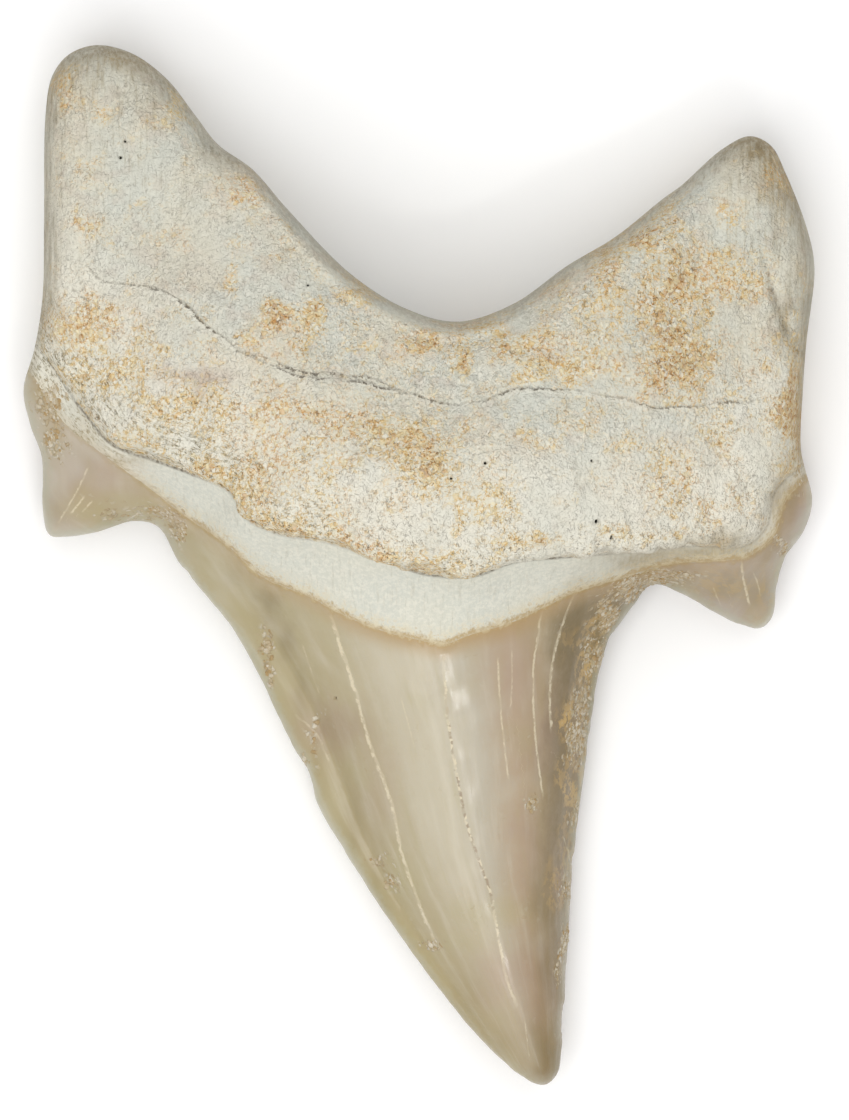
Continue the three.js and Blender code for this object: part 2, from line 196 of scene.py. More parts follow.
# Spot heights over the two faces: x, y, height.
ROOT_SPOTS = [
    (0, 4, 19.0), (-6, 5, 18.5), (6, 4.5, 18.7), (-11, 7.5, 16.8), (11.5, 5, 17.2),
    (-15, 9, 14.8), (16, 5, 15.0), (-19, 10.5, 12.2), (20, 5.5, 12.2), (-22, 13, 9.8),
    (22.8, 7.5, 9.8), (0, 10, 17.7), (-7, 12, 17.0), (7, 11, 17.3), (14, 11, 15.8),
    (20, 11, 13.0), (23.5, 13, 9.8), (2, 14.5, 14.8), (-3, 15.5, 14.8), (8, 16, 14.8),
    (-13, 15, 15.4), (-18, 15, 13.6), (-22, 18, 10.2), (-9, 19, 14.4), (-18.5, 21, 12.8),
    (-13, 22, 13.0), (-19, 26, 11.6), (-22, 25, 9.8), (-16, 27, 11.2), (-19, 31, 9.6),
    (14, 17, 14.6), (19, 16, 13.0), (23.5, 18, 10.0), (17, 20.5, 12.8), (21, 21, 11.4),
    (20.5, 25, 10.0),
]
ROOT_SPOT_REACH = 3.3
LABIAL_SPOTS = [
    (-18, 20, -1.5), (19, 16, -1.6), (3.5, -13, -1.2), (8, -31, 2.6), (7, -26, 1.5),
    (5, -20, 0.5), (0, -6, 0.4), (0, -2, 0.8), (1, 4, 1.4), (1, 11, 1.7), (-10, 6, 1.2),
    (11, 5, 1.2), (-20, 31, 1.6), (-11, 19, 0.9), (13, 17, 0.9), (21.5, 25, 1.4), (-22, 8, 1.5),
    (22, 4, 1.5),
]
LABIAL_SPOT_REACH = 5.2

# ---- Drawn markings --------------------------------------------------------------------------

# Patches: x, y, half width, half height, strength.

# Golden iron stain in the bone.
OCHRE_PATCHES = [
    (-5.0, 7.0, 9.0, 6.5, 0.2), (-20.0, 13.0, 4.0, 3.4, 0.15), (15.6, 21.6, 0.8, 1.2, 0.75),
    (20.4, 17.0, 0.9, 1.0, 0.5), (16.2, 14.1, 1.2, 1.2, 0.8), (14.4, 16.2, 1.0, 1.2, 0.7),
    (3.0, 9.0, 0.9, 0.7, 0.4), (-22.4, 30.2, 0.7, 1.2, 0.5), (14.3, 20.3, 1.4, 1.2, 0.8),
    (11.7, 19.4, 1.6, 1.1, 0.75), (16.5, 18.6, 1.5, 1.4, 0.8), (15.4, 15.6, 1.7, 2.6, 0.85),
    (15.8, 11.8, 2.0, 1.9, 0.9), (17.4, 16.4, 1.3, 1.3, 0.7), (19.6, 17.4, 1.5, 1.1, 0.6),
    (12.3, 16.2, 1.4, 2.2, 0.5), (6.9, 14.0, 2.6, 1.5, 0.6), (10.2, 12.2, 2.4, 0.7, 0.65),
    (9.4, 16.6, 1.6, 1.2, 0.3), (12.8, 7.6, 1.2, 1.0, 0.6), (14.9, 6.0, 0.9, 1.4, 0.6),
    (16.4, 4.6, 0.7, 1.4, 0.65), (23.4, 9.4, 0.9, 3.2, 1.2), (23.4, 13.0, 0.7, 2.4, 0.65),
    (19.4, 21.6, 0.9, 0.8, 0.45), (18.8, 7.4, 0.9, 0.9, 0.4), (0.8, 14.2, 1.2, 0.8, 0.75),
    (2.5, 12.4, 0.8, 1.2, 0.7), (0.6, 6.5, 1.6, 1.6, 0.85), (-0.8, 8.3, 1.4, 1.2, 0.6),
    (2.5, 3.0, 0.35, 1.5, 0.85), (4.4, 3.2, 1.3, 1.6, 0.35), (8.1, 1.2, 0.9, 0.5, 0.7),
    (12.2, 2.0, 0.9, 0.6, 0.4), (-21.0, 14.9, 2.2, 1.2, 0.9), (-16.6, 9.6, 1.1, 1.0, 0.75),
    (-16.0, 13.4, 1.6, 0.9, 0.4), (-9.1, 15.3, 0.9, 0.8, 0.8), (-6.5, 15.4, 0.9, 0.9, 0.85),
    (-10.5, 14.1, 0.7, 0.6, 0.7), (-7.5, 13.7, 0.8, 0.6, 0.75), (-4.0, 17.4, 1.8, 0.8, 0.6),
    (-11.6, 18.6, 0.7, 1.6, 0.4), (-6.4, 9.4, 2.0, 1.0, 0.5), (-3.4, 8.6, 1.8, 1.2, 0.55),
    (-12.6, 9.6, 2.6, 1.4, 0.4), (-20.8, 24.9, 1.2, 0.9, 0.35), (-20.7, 22.2, 1.0, 1.0, 0.35),
    (-11.0, 23.4, 1.2, 1.4, 0.35), (-17.2, 7.4, 1.1, 0.5, 0.85), (-13.3, 5.9, 1.5, 0.6, 0.95),
    (-10.6, 3.4, 0.8, 0.9, 0.8), (-7.2, 2.3, 1.9, 0.5, 0.75), (-3.6, 1.4, 2.0, 0.5, 0.6),
    (0.8, 0.3, 2.2, 0.6, 0.6), (-22.6, 11.4, 0.9, 1.8, 0.45), (-9.0, 6.0, 3.6, 1.6, 0.25),
    (20.0, 3.4, 1.6, 1.0, 0.35), (-17.8, 12.0, 1.6, 1.2, 0.5), (-14.6, 9.8, 1.5, 1.1, 0.55),
    (-2.8, 8.4, 1.4, 0.8, 0.45), (4.2, 15.0, 1.4, 0.8, 0.5), (11.4, 15.0, 1.5, 1.0, 0.5),
    (17.2, 12.8, 1.2, 1.4, 0.5), (18.2, 8.8, 1.2, 1.2, 0.45), (19.2, 19.0, 1.0, 0.9, 0.5),
    (-12.6, 5.4, 1.6, 0.7, 0.6), (-6.2, 5.8, 1.8, 0.9, 0.3), (-8.0, 9.8, 1.6, 0.9, 0.35),
    (7.6, 12.4, 1.6, 0.8, 0.5), (20.8, 12.4, 1.0, 1.2, 0.3), (-19.6, 12.2, 2.2, 1.4, 0.5),
    (-20.6, 8.6, 1.6, 1.4, 0.2), (23.2, 4.6, 1.0, 2.0, 0.55), (-15.2, 20.4, 1.2, 1.0, 0.3),
    (-17.6, 22.6, 1.0, 0.9, 0.25), (-13.2, 15.6, 1.6, 0.9, 0.35), (-20.2, 27.9, 1.3, 0.8, 0.15),
    (-21.9, 29.6, 0.9, 1.6, 0.1), (-15.3, 28.6, 0.8, 1.2, 0.5), (22.2, 24.2, 0.9, 1.6, 0.5),
    (6.2, 8.6, 1.6, 1.0, 0.25), (-3.0, 13.4, 2.2, 0.7, 0.35), (17.4, 3.6, 1.4, 1.0, 0.35),
    (10.0, 8.4, 1.4, 1.0, 0.3), (-8.4, 7.4, 1.6, 0.8, 0.35), (5.6, 1.0, 1.6, 0.4, 0.5),
    (16.0, 2.0, 2.6, 0.4, 0.4),
]
# Deeper stain within it, and down the right flank of the crown and its cusplet.
RUST_PATCHES = [
    (14.3, 20.4, 0.9, 0.8, 0.9), (16.3, 17.4, 0.9, 1.4, 0.9), (14.4, 16.2, 0.7, 1.0, 0.8),
    (16.2, 14.1, 0.8, 0.9, 0.9), (15.6, 21.4, 0.5, 0.8, 0.6), (15.9, 12.0, 1.3, 1.6, 0.75),
    (11.6, 19.5, 1.0, 0.7, 0.7), (0.8, 14.3, 1.0, 0.6, 0.6), (2.6, 12.3, 0.5, 0.8, 0.6),
    (0.6, 6.6, 0.9, 0.9, 0.8), (-6.4, 15.3, 0.5, 0.5, 0.8), (-9.1, 15.3, 0.5, 0.5, 0.6),
    (-13.2, 5.8, 1.0, 0.4, 0.8), (-17.2, 7.4, 0.8, 0.3, 0.7), (23.6, 9.2, 0.9, 3.2, 1.0),
    (16.4, 4.6, 0.5, 1.0, 0.6), (-4.0, 17.6, 1.4, 0.5, 0.5), (8.1, 1.1, 0.5, 0.3, 0.5),
    (13.6, 15.4, 0.7, 1.4, 0.5), (-1.0, 8.0, 0.6, 0.6, 0.5), (10.4, -6.4, 0.7, 1.8, 1.0),
    (9.9, -10.2, 0.6, 1.8, 1.0), (9.3, -14.4, 0.5, 2.2, 0.6), (9.0, -19.6, 0.4, 2.2, 0.4),
    (21.7, -1.8, 1.0, 1.4, 0.3), (18.4, -1.2, 1.6, 1.2, 0.25), (11.3, -3.6, 0.6, 1.0, 0.6),
]
# Pinkish clouds of bone and enamel.
BLUSH_PATCHES = [
    (-13.6, 11.5, 2.0, 0.9, 0.95), (-13.8, 17.8, 2.2, 1.4, 0.15), (-10.2, 24.2, 1.4, 1.4, 0.3),
    (-5.8, -10.4, 2.4, 1.8, 0.5), (8.6, -10.8, 1.3, 2.4, 0.8), (6.4, -6.6, 1.8, 3.0, 0.35),
    (9.6, -19.5, 0.9, 3.0, 0.5), (7.6, -26.5, 1.3, 3.4, 0.45), (5.2, -26.0, 1.6, 1.6, 0.4),
    (-19.5, 5.4, 2.6, 1.6, 0.35), (23.4, 3.8, 1.0, 1.8, 0.5), (7.4, -17.6, 1.4, 3.0, 0.4),
    (-2.5, -14.0, 1.4, 3.5, 0.25), (-15.6, 3.2, 0.8, 0.6, 0.6),
]
# Brown dirt on the ends of the root, and painted shade along its outer edges and on the neck
# under the ledge.
DIRT_AND_SHADE_PATCHES = [
    (-21.4, 30.8, 1.6, 1.6, 0.6), (-18.4, 31.8, 2.6, 1.0, 0.75), (-16.0, 29.6, 1.3, 1.9, 0.45),
    (-22.9, 29.0, 0.7, 2.2, 0.6), (-18.0, 29.6, 1.3, 1.0, 0.15), (21.8, 25.6, 1.3, 1.8, 1.0),
    (21.2, 26.4, 1.6, 0.8, 0.9), (19.2, 25.4, 1.3, 1.2, 0.3), (22.6, 23.6, 0.9, 1.6, 0.65),
    (23.9, 19.4, 0.5, 2.6, 0.45), (-22.9, 19.0, 0.6, 5.0, 0.35), (23.0, 15.2, 0.45, 2.4, 0.6),
    (-12.2, 25.6, 1.2, 0.8, 0.35), (-19.5, 27.6, 3.0, 3.0, 0.06), (20.6, 22.4, 2.4, 2.6, 0.14),
    (22.9, 21.6, 0.8, 2.2, 0.4), (24.2, 14.0, 0.5, 3.0, 0.5), (23.9, 9.2, 0.7, 2.8, 0.9),
    (22.7, 15.6, 0.5, 1.6, 0.6), (14.4, 0.4, 2.6, 0.7, 0.5), (18.6, 0.9, 2.2, 0.6, 0.65),
    (-21.2, 8.4, 1.2, 1.4, 0.3), (-18.4, 6.6, 1.6, 0.6, 0.4), (22.6, 3.8, 0.8, 2.0, 0.6),
]
# Darker, browner zones of the enamel and the neck. Those in the furrow on the left and on the
# neck under the ledge on the right are painted shade.
SHADE_PATCHES = [
    (10.6, -3.4, 1.7, 2.2, 0.9), (9.8, -6.8, 1.3, 2.8, 1.0), (9.0, -11.4, 1.2, 3.2, 0.9),
    (8.9, -16.0, 1.0, 3.2, 0.7), (8.2, -20.8, 1.2, 3.6, 0.6), (7.9, -25.5, 1.1, 3.0, 0.55),
    (7.7, -30.4, 1.1, 2.2, 0.65), (-11.2, -0.6, 1.0, 0.9, 0.2), (-9.4, -2.3, 0.8, 1.2, 0.5),
    (-8.3, -4.6, 0.6, 1.4, 0.4), (-7.4, -8.4, 0.6, 1.8, 0.3), (-6.2, -11.0, 0.6, 1.6, 0.25),
    (19.6, -1.4, 3.4, 2.2, 0.45), (22.6, 3.0, 1.4, 2.2, 0.45), (-4.2, -16.4, 0.8, 2.4, 0.25),
    (14.4, 0.2, 2.2, 1.0, 0.6), (-22.8, 3.2, 1.0, 1.6, 0.2), (3.0, -27.6, 1.2, 2.6, 0.15),
    (17.6, 0.9, 2.8, 0.7, 0.55), (21.4, 1.9, 1.3, 1.2, 0.75), (22.7, 4.9, 0.9, 1.6, 0.7),
    (8.0, -31.6, 1.6, 1.6, 0.5), (4.6, -30.2, 1.6, 1.4, 0.2), (-2.6, -20.8, 0.7, 3.0, 0.2),
    (-23.6, 11.4, 0.8, 1.6, 0.15), (-4.4, -10.2, 1.6, 1.4, 0.15),
]
# Where the root is smooth and cool, without grain or marks.
CALM_PATCHES = [
    (-18.5, 23.0, 4.5, 6.0, 0.55), (20.4, 20.0, 3.0, 5.0, 0.45), (-22.0, 9.8, 1.4, 1.2, 0.8),
    (-13.6, 20.4, 2.8, 2.8, 0.65), (-20.0, 7.6, 1.6, 0.9, 0.8), (19.4, 22.4, 1.8, 2.4, 0.9),
    (-20.2, 26.8, 2.2, 2.6, 0.6), (-11.0, 18.6, 1.4, 1.2, 0.7), (-5.4, 6.4, 1.8, 0.9, 0.8),
    (-4.5, 10.7, 1.4, 0.7, 0.7), (-8.4, 11.1, 1.0, 0.6, 0.6), (10.6, 3.6, 2.0, 1.6, 0.6),
    (22.6, 18.4, 0.8, 2.4, 0.6), (-16.6, 24.4, 1.4, 2.4, 0.5), (5.0, 12.2, 1.4, 0.6, 0.5),
    (19.0, 14.6, 1.0, 1.6, 0.5),
]
# Where grains of the rock that held the tooth still cling to it.
CRUMB_PATCHES = [
    (11.8, -3.2, 0.7, 1.2, 0.9), (10.9, -5.6, 0.55, 1.3, 0.9), (10.3, -8.6, 0.6, 1.6, 1.0),
    (9.7, -11.2, 0.5, 1.2, 0.9), (13.3, -1.5, 1.2, 0.6, 0.9), (15.2, -0.6, 1.3, 0.5, 0.8),
    (9.7, -15.6, 0.4, 1.1, 0.4), (9.4, -20.6, 0.4, 1.0, 0.7), (9.1, -23.6, 0.35, 1.2, 0.8),
    (8.8, -25.6, 0.3, 0.8, 0.7), (7.2, -14.9, 0.45, 0.6, 0.7), (16.4, -0.6, 0.9, 0.5, 0.8),
    (-9.6, -4.6, 0.45, 1.0, 0.75), (-9.3, -6.8, 0.4, 0.9, 0.75), (-6.6, -10.8, 0.4, 1.4, 0.5),
    (-2.6, -18.6, 0.9, 0.5, 0.5), (-1.7, -20.0, 0.5, 0.4, 0.6), (0.9, -23.8, 0.35, 0.35, 0.8),
    (-22.9, 10.4, 1.0, 1.3, 1.0), (-22.6, 7.6, 0.7, 1.1, 1.0), (-16.0, 3.3, 1.3, 0.45, 0.9),
    (-15.2, 2.3, 0.7, 0.9, 0.8), (-19.0, 3.1, 1.6, 0.4, 0.4), (22.7, 1.2, 0.4, 0.8, 0.7),
    (23.4, 5.6, 0.6, 1.2, 0.4), (11.0, 1.6, 1.6, 0.5, 0.4), (-7.4, -12.2, 0.3, 0.4, 0.7),
]
# Pinholes in the root: x, y, radius.
PINHOLES = [
    (-18.3, 26.4, 0.10), (-18.6, 25.4, 0.12), (4.1, 6.3, 0.12), (11.0, 2.9, 0.13),
    (11.9, 2.0, 0.11), (10.8, 6.5, 0.10), (-7.6, 20.6, 0.10), (-5.9, 20.3, 0.10),
    (-6.9, 17.4, 0.11), (2.0, 5.4, 0.10), (-5.2, -8.3, 0.08),
]

# ---- Curves and distances --------------------------------------------------------------------

DISTANCE_STEP = 0.3  # spacing of the points that stand for a curve when distances are measured
CHUNK = 2000  # places measured at a time, to save memory


def smooth_curve(points, closed=False, steps=40):
    """Dense places along a centripetal curve through points."""
    p = np.array(points, float)
    if closed:
        p = np.vstack([p[-1:], p, p[:2]])
    else:
        p = np.vstack([2 * p[0] - p[1], p, 2 * p[-1] - p[-2]])
    gap = np.sqrt(np.linalg.norm(np.diff(p, axis=0), axis=1))[:, None]
    before, here, there, after = p[:-3], p[1:-2], p[2:-1], p[3:]
    g0, g1, g2 = gap[:-2], gap[1:-1], gap[2:]
    leave = ((here - before) / g0 - (there - before) / (g0 + g1) + (there - here) / g1) * g1
    arrive = ((there - here) / g1 - (after - here) / (g1 + g2) + (after - there) / g2) * g1
    square = -3 * here + 3 * there - 2 * leave - arrive
    cube = 2 * here - 2 * there + leave + arrive
    t = np.linspace(0, 1, steps, endpoint=False)[None, :, None]
    dense = here[:, None] + t * (leave[:, None] + t * (square[:, None] + t * cube[:, None]))
    return np.vstack([dense.reshape(-1, 2), there[-1:]])


def spaced(dense, spacing):
    """Evenly spaced places along a dense line, both ends included."""
    along = np.concatenate([[0], np.cumsum(np.linalg.norm(np.diff(dense, axis=0), axis=1))])
    even = np.linspace(0, along[-1], max(2, round(along[-1] / spacing) + 1))
    return np.stack([np.interp(even, along, dense[:, axis]) for axis in (0, 1)], axis=1)


def nearest(line, places):
    """Distance of places from a line, positive on its left, and the share of it passed there."""
    start, run = line[:-1], np.diff(line, axis=0)
    square_run = (run**2).sum(1)
    distance, along = np.empty(len(places)), np.empty(len(places))
    for first in range(0, len(places), CHUNK):
        gap = places[first : first + CHUNK, None] - start
        t = np.clip((gap * run).sum(2) / square_run, 0, 1)
        square = ((gap - t[..., None] * run) ** 2).sum(2)
        row, best = np.arange(len(gap)), square.argmin(1)
        turn = run[best, 0] * gap[row, best, 1] - run[best, 1] * gap[row, best, 0]
        distance[first : first + CHUNK] = np.sqrt(square[row, best]) * np.where(turn < 0, -1, 1)
        along[first : first + CHUNK] = (best + t[row, best]) / len(start)
    return distance, along


def lefts(line):
    """Unit directions to the left of a line at its places."""
    run = np.gradient(line, axis=0)
    run /= np.linalg.norm(run, axis=1)[:, None]
    return np.stack([-run[:, 1], run[:, 0]], axis=1)


def loop_lefts(loop):
    """The same at the places of a closed loop."""
    return lefts(np.vstack([loop[-1:], loop, loop[:1]]))[1:-1]


OUTLINE_LINE = spaced(smooth_curve(OUTLINE, closed=True), DISTANCE_STEP)
LEDGE_LINE = spaced(smooth_curve(LEDGE), DISTANCE_STEP)
INNER_BORDER_LINE = spaced(smooth_curve(INNER_BORDER), DISTANCE_STEP)
OUTER_BORDER_LINE = spaced(smooth_curve(OUTER_BORDER), DISTANCE_STEP)
CRACK_LINES = [spaced(smooth_curve(crack), DISTANCE_STEP) for crack in ROOT_CRACKS]
SIDE_FOLD_LINE = spaced(smooth_curve(SIDE_FOLD), DISTANCE_STEP)

# ---- Shape helpers ---------------------------------------------------------------------------


def ease(values, start, end):
    """0 up to start, 1 from end on, smooth between. Start may lie after end."""
    t = np.clip((values - start) / (end - start), 0, 1)
    return t * t * (3 - 2 * t)


def soft_max(a, b, softness):
    """The larger of two heights, with a smooth furrow where they cross."""
    share = np.clip(0.5 + 0.5 * (a - b) / softness, 0, 1)
    return b + (a - b) * share + softness * share * (1 - share)


def shoulder(distance, width, fullness=2.0):
    """Rises from 0 at the edge to 1 at the end of a shoulder. More fullness makes it squarer."""
    t = np.clip(distance / width, 0, 1)
    return (1 - (1 - t) ** fullness) ** (1 / fullness)


def rows_at(rows, y):
    """Values at y of smooth curves through rows of (y, value, value, ...), one array a value."""
    table = np.array(rows, float)
    ys, values = table[:, 0], table[:, 1:]
    step = np.diff(ys)[:, None]
    slope = np.diff(values, axis=0) / step
    slopes = np.vstack([0 * slope[:1], (slope[:-1] + slope[1:]) / 2, 0 * slope[:1]])
    y = np.clip(y, ys[0], ys[-1])
    i = np.clip(np.searchsorted(ys, y, side="right") - 1, 0, len(ys) - 2)
    h = step[i]
    t = (y - ys[i])[:, None] / h
    start, end = values[i], values[i + 1]
    leave, arrive = slopes[i] * h, slopes[i + 1] * h
    curve = start + t * (leave + t * (3 * (end - start) - 2 * leave - arrive))
    return (curve + t**3 * (2 * (start - end) + leave + arrive)).T


def spot_height(spots, reach, places):
    """Weighted mean of spot heights, near ones counting most."""
    spots = np.array(spots, float)
    square = ((places[:, None] - spots[:, :2]) ** 2).sum(2)
    weight = np.exp(-square / (2 * reach * reach))
    return weight @ spots[:, 2] / weight.sum(1)


def cover(patches, places):
    """How far soft patches cover places, from 0 to 1."""
    bare = np.ones(len(places))
    for x, y, half_width, half_height, strength in patches:
        square = ((places[:, 0] - x) / half_width) ** 2 + ((places[:, 1] - y) / half_height) ** 2
        bare *= 1 - strength * np.exp(-square)
    return 1 - bare


def lumps(places, size, seed):
    """Smooth noise, mostly from -1 to 1, with lumps of a size or of a size along each axis."""
    shifted = places / np.array(size, float) + np.array([seed * 7.31, seed * -3.17, seed * 5.77])
    return np.array([noise.noise(Vector(p)) for p in shifted.tolist()])


# ---- The tooth's two faces -------------------------------------------------------------------


class Plan:
    """Places over the outline, with what the shape and the markings need to know of each."""

    def __init__(self, places, on_rim, inner):
        self.places, self.inner = places, inner
        self.x, self.y = places.T
        self.depth, self.along = nearest(OUTLINE_LINE, places)
        self.depth[:on_rim] = 0
        self.past_ledge, self.along_ledge = nearest(LEDGE_LINE, places)
        border = INNER_BORDER_LINE if inner else OUTER_BORDER_LINE
        self.past_border = nearest(border, places)[0]
        left, right, self.ridge = rows_at(CROWN_BODY, self.y)
        self.across = (2 * self.x - left - right) / (right - left)
        self.cusplet = ease(np.abs(self.x), 13, 18)
        self.edge = rows_at(EDGE_HEIGHT, self.y)[0]


def inner_height(plan, ledge_step):
    """Heights of the inner face: crown body, wings, cusplets, neck and the root's bulge."""
    edge, depth = plan.edge + RIM_THICKNESS / 2, plan.depth
    cap = spot_height(ROOT_SPOTS, ROOT_SPOT_REACH, plan.places) - edge
    power, root_power = BODY_PROFILE
    rounded = np.maximum(0, 1 - np.abs(plan.across) ** power) ** root_power
    wings = BLADE_RISE * shoulder(depth, BLADE_SHOULDER, fullness=1.3)
    crown = soft_max((plan.ridge - edge) * rounded, wings, WING_BLEND)
    cusplet = CUSPLET_RISE * plan.cusplet * shoulder(depth, CUSPLET_SHOULDER, fullness=1.3)
    near_ledge = np.clip(1 + plan.past_ledge / NECK_SPREAD, 0, 1) ** 1.3
    neck = NECK_SHARE * cap * near_ledge * shoulder(depth, CUSPLET_SHOULDER, fullness=1.6)
    enamel = soft_max(crown, soft_max(cusplet, neck, CUSPLET_BLEND), WING_BLEND)
    swelling = LEDGE_SHARE + (1 - LEDGE_SHARE) * shoulder(plan.past_ledge, BULGE_SPREAD)
    step = shoulder(plan.past_ledge, ledge_step)
    root = cap * swelling * step * shoulder(depth, ROOT_SHOULDER, fullness=3.0)
    rise = np.where(plan.past_ledge > 0, soft_max(enamel, root, LEDGE_BLEND), enamel)
    return edge + rise * shoulder(depth, EDGE_ROUNDING)


def outer_height(plan):
    """Heights of the outer face, flat where the tooth rests."""
    edge = plan.edge - RIM_THICKNESS / 2
    face = spot_height(LABIAL_SPOTS, LABIAL_SPOT_REACH, plan.places)
    fall = (edge - face) * shoulder(plan.depth, LABIAL_SHOULDER, fullness=1.7)
    return np.maximum(0, edge - fall)


# ---- Plan mesh -------------------------------------------------------------------------------

RING_DEPTHS = [0.05, 0.13, 0.24, 0.38, 0.55, 0.75, 0.98]  # rings that round the edges
LEDGE_ROWS = [-0.3, -0.15, -0.04, 0.07, 0.18, 0.3, 0.43, 0.58, 0.76, 0.98]
BORDER_ROWS = [-0.34, -0.17, 0.0, 0.17, 0.34]
CRACK_ROWS = [-0.3, -0.18, -0.06, 0.06, 0.18, 0.3]
HOLE_RINGS = [0.0, 0.5, 0.9, 1.3, 2.0]  # rings round a pinhole, in its radii
HOLE_CLEARING = 2.2  # radii round a pinhole that its rings take over from the grid
ROW_CLEARING = 0.6  # spacings beside a crease's rows that the grid leaves free
RING_CLEARING = 0.5  # spacings inside the last ring that everything else leaves free
RING_TRUENESS = 0.93  # share of its depth that a ring keeps to, or it is cut short
CLOSEST = 0.06  # places nearer together than this are thinned out
MERGED, SLIVER = 1e-6, 1e-7  # distance of places that are one, and area of a lost triangle
OUTER_COARSENESS = 2.3  # how much further apart the points of the outer face are


def rows_beside(line, offsets, spacing):
    """Rows of places beside a line, each at one offset to its left."""
    even = spaced(line, spacing)
    return np.vstack([even + offset * lefts(even) for offset in offsets])


def hex_grid(spacing):
    """Places of an even grid of triangles over the outline's box."""
    low, high = OUTLINE_LINE.min(0), OUTLINE_LINE.max(0)
    rise = spacing * np.sqrt(0.75)
    x, y = np.meshgrid(np.arange(low[0], high[0], spacing), np.arange(low[1], high[1], rise))
    x[1::2] += spacing / 2
    return np.stack([x.ravel(), y.ravel()], axis=1)


def apart_from(places, line, low, high):
    """The places that lie outside a band beside a line."""
    distance = nearest(line, places)[0]
    return places[(distance < low) | (distance > high)]


def thinned(places, kept):
    """Drops places that share a small cell with an earlier one. The first few are all kept."""
    cells = np.floor(places / CLOSEST).astype(int)
    first = np.unique(cells, axis=0, return_index=True)[1]
    chosen = np.zeros(len(places), bool)
    chosen[first] = True
    chosen[:kept] = True
    return places[chosen]


def detailed_places(rim, spacing, bands, ring_depths):
    """Rim places, then rings inside the outline, rows along creases, pinholes and a grid."""
    rings = []
    for depth in ring_depths:
        ring = rim + depth * loop_lefts(rim)
        rings.append(ring[nearest(OUTLINE_LINE, ring)[0] > RING_TRUENESS * depth])
    grid, inside = hex_grid(spacing), []
    margin = ROW_CLEARING * spacing
    for line, offsets in bands:
        inside.append(rows_beside(line, offsets, spacing))
        grid = apart_from(grid, line, offsets[0] - margin, offsets[-1] + margin)
    turns = np.linspace(0, 2 * np.pi, 9)[:-1]
    circle = np.stack([np.cos(turns), np.sin(turns)], axis=1)
    for x, y, radius in PINHOLES if bands else []:
        centre = np.array([x, y])
        grid = grid[np.linalg.norm(grid - centre, axis=1) > HOLE_CLEARING * radius]
        inside.extend(centre + share * radius * circle for share in HOLE_RINGS)
    inside.append(grid)
    inside = np.vstack(inside)
    innermost = ring_depths[-1] + RING_CLEARING * spacing
    inside = inside[nearest(OUTLINE_LINE, inside)[0] > innermost]
    return thinned(np.vstack([rim, *rings, inside]), len(rim))


def triangles_over(places, on_rim):
    """Triangles over places, inside the rim, anticlockwise."""
    loop = [(i, (i + 1) % on_rim) for i in range(on_rim)]
    made = delaunay_2d_cdt([Vector(p) for p in places.tolist()], loop, [], 0, MERGED, False)
    points, faces = np.array([tuple(p) for p in made[0]]), np.array(made[2])
    corners = points[faces]
    across, along = corners[:, 1] - corners[:, 0], corners[:, 2] - corners[:, 0]
    turn = across[:, 0] * along[:, 1] - across[:, 1] * along[:, 0]
    inside = np.abs(turn) > SLIVER
    bridging = np.flatnonzero((faces < on_rim).all(1))
    inside[bridging] &= nearest(OUTLINE_LINE, corners[bridging].mean(1))[0] > 0
    faces[turn < 0] = faces[turn < 0][:, ::-1]
    return points, faces[inside]


# ---- Relief ----------------------------------------------------------------------------------


def vertex_normals(points, faces):
    """Unit normals at points, from the faces around them weighed by their area."""
    a, b, c = (points[faces[:, i]] for i in range(3))
    face_normals = np.cross(b - a, c - a)
    normals = np.zeros_like(points)
    for corner in range(3):
        np.add.at(normals, faces[:, corner], face_normals)
    return normals / np.maximum(np.linalg.norm(normals, axis=1), 1e-12)[:, None]


def crack_distance(plan):
    """Signed distance from the nearest root crack, and how open it is there."""
    main, side = (nearest(line, plan.places) for line in CRACK_LINES)
    use_side = np.abs(side[0]) < np.abs(main[0])
    distance = np.where(use_side, side[0], main[0])
    along = np.where(use_side, side[1], main[1])
    flat = np.column_stack([plan.places, 0 * plan.x])
    ends = ease(along, 0, 0.05) * ease(along, 1, 0.92)
    uneven = 0.5 + 0.5 * ease(lumps(flat, 2.2, 24), -0.35, 0.25)
    opening = np.where(use_side, 0.6, 0.9 + 0.1 * ease(plan.x, 3, -3))
    wander = 0.16 * lumps(flat, 1.4, 25) + 0.07 * lumps(flat, 0.5, 26)
    return distance + wander, ends * opening * uneven * plan.inner


def hole_depth(plan):
    """How deep each place lies in a pinhole, from 0 to 1."""
    depth = np.zeros(len(plan.places))
    for x, y, radius in PINHOLES if plan.inner else []:
        gap = np.hypot(plan.x - x, plan.y - y) / radius
        depth = np.maximum(depth, ease(gap, 1.25, 0.3))
    return depth


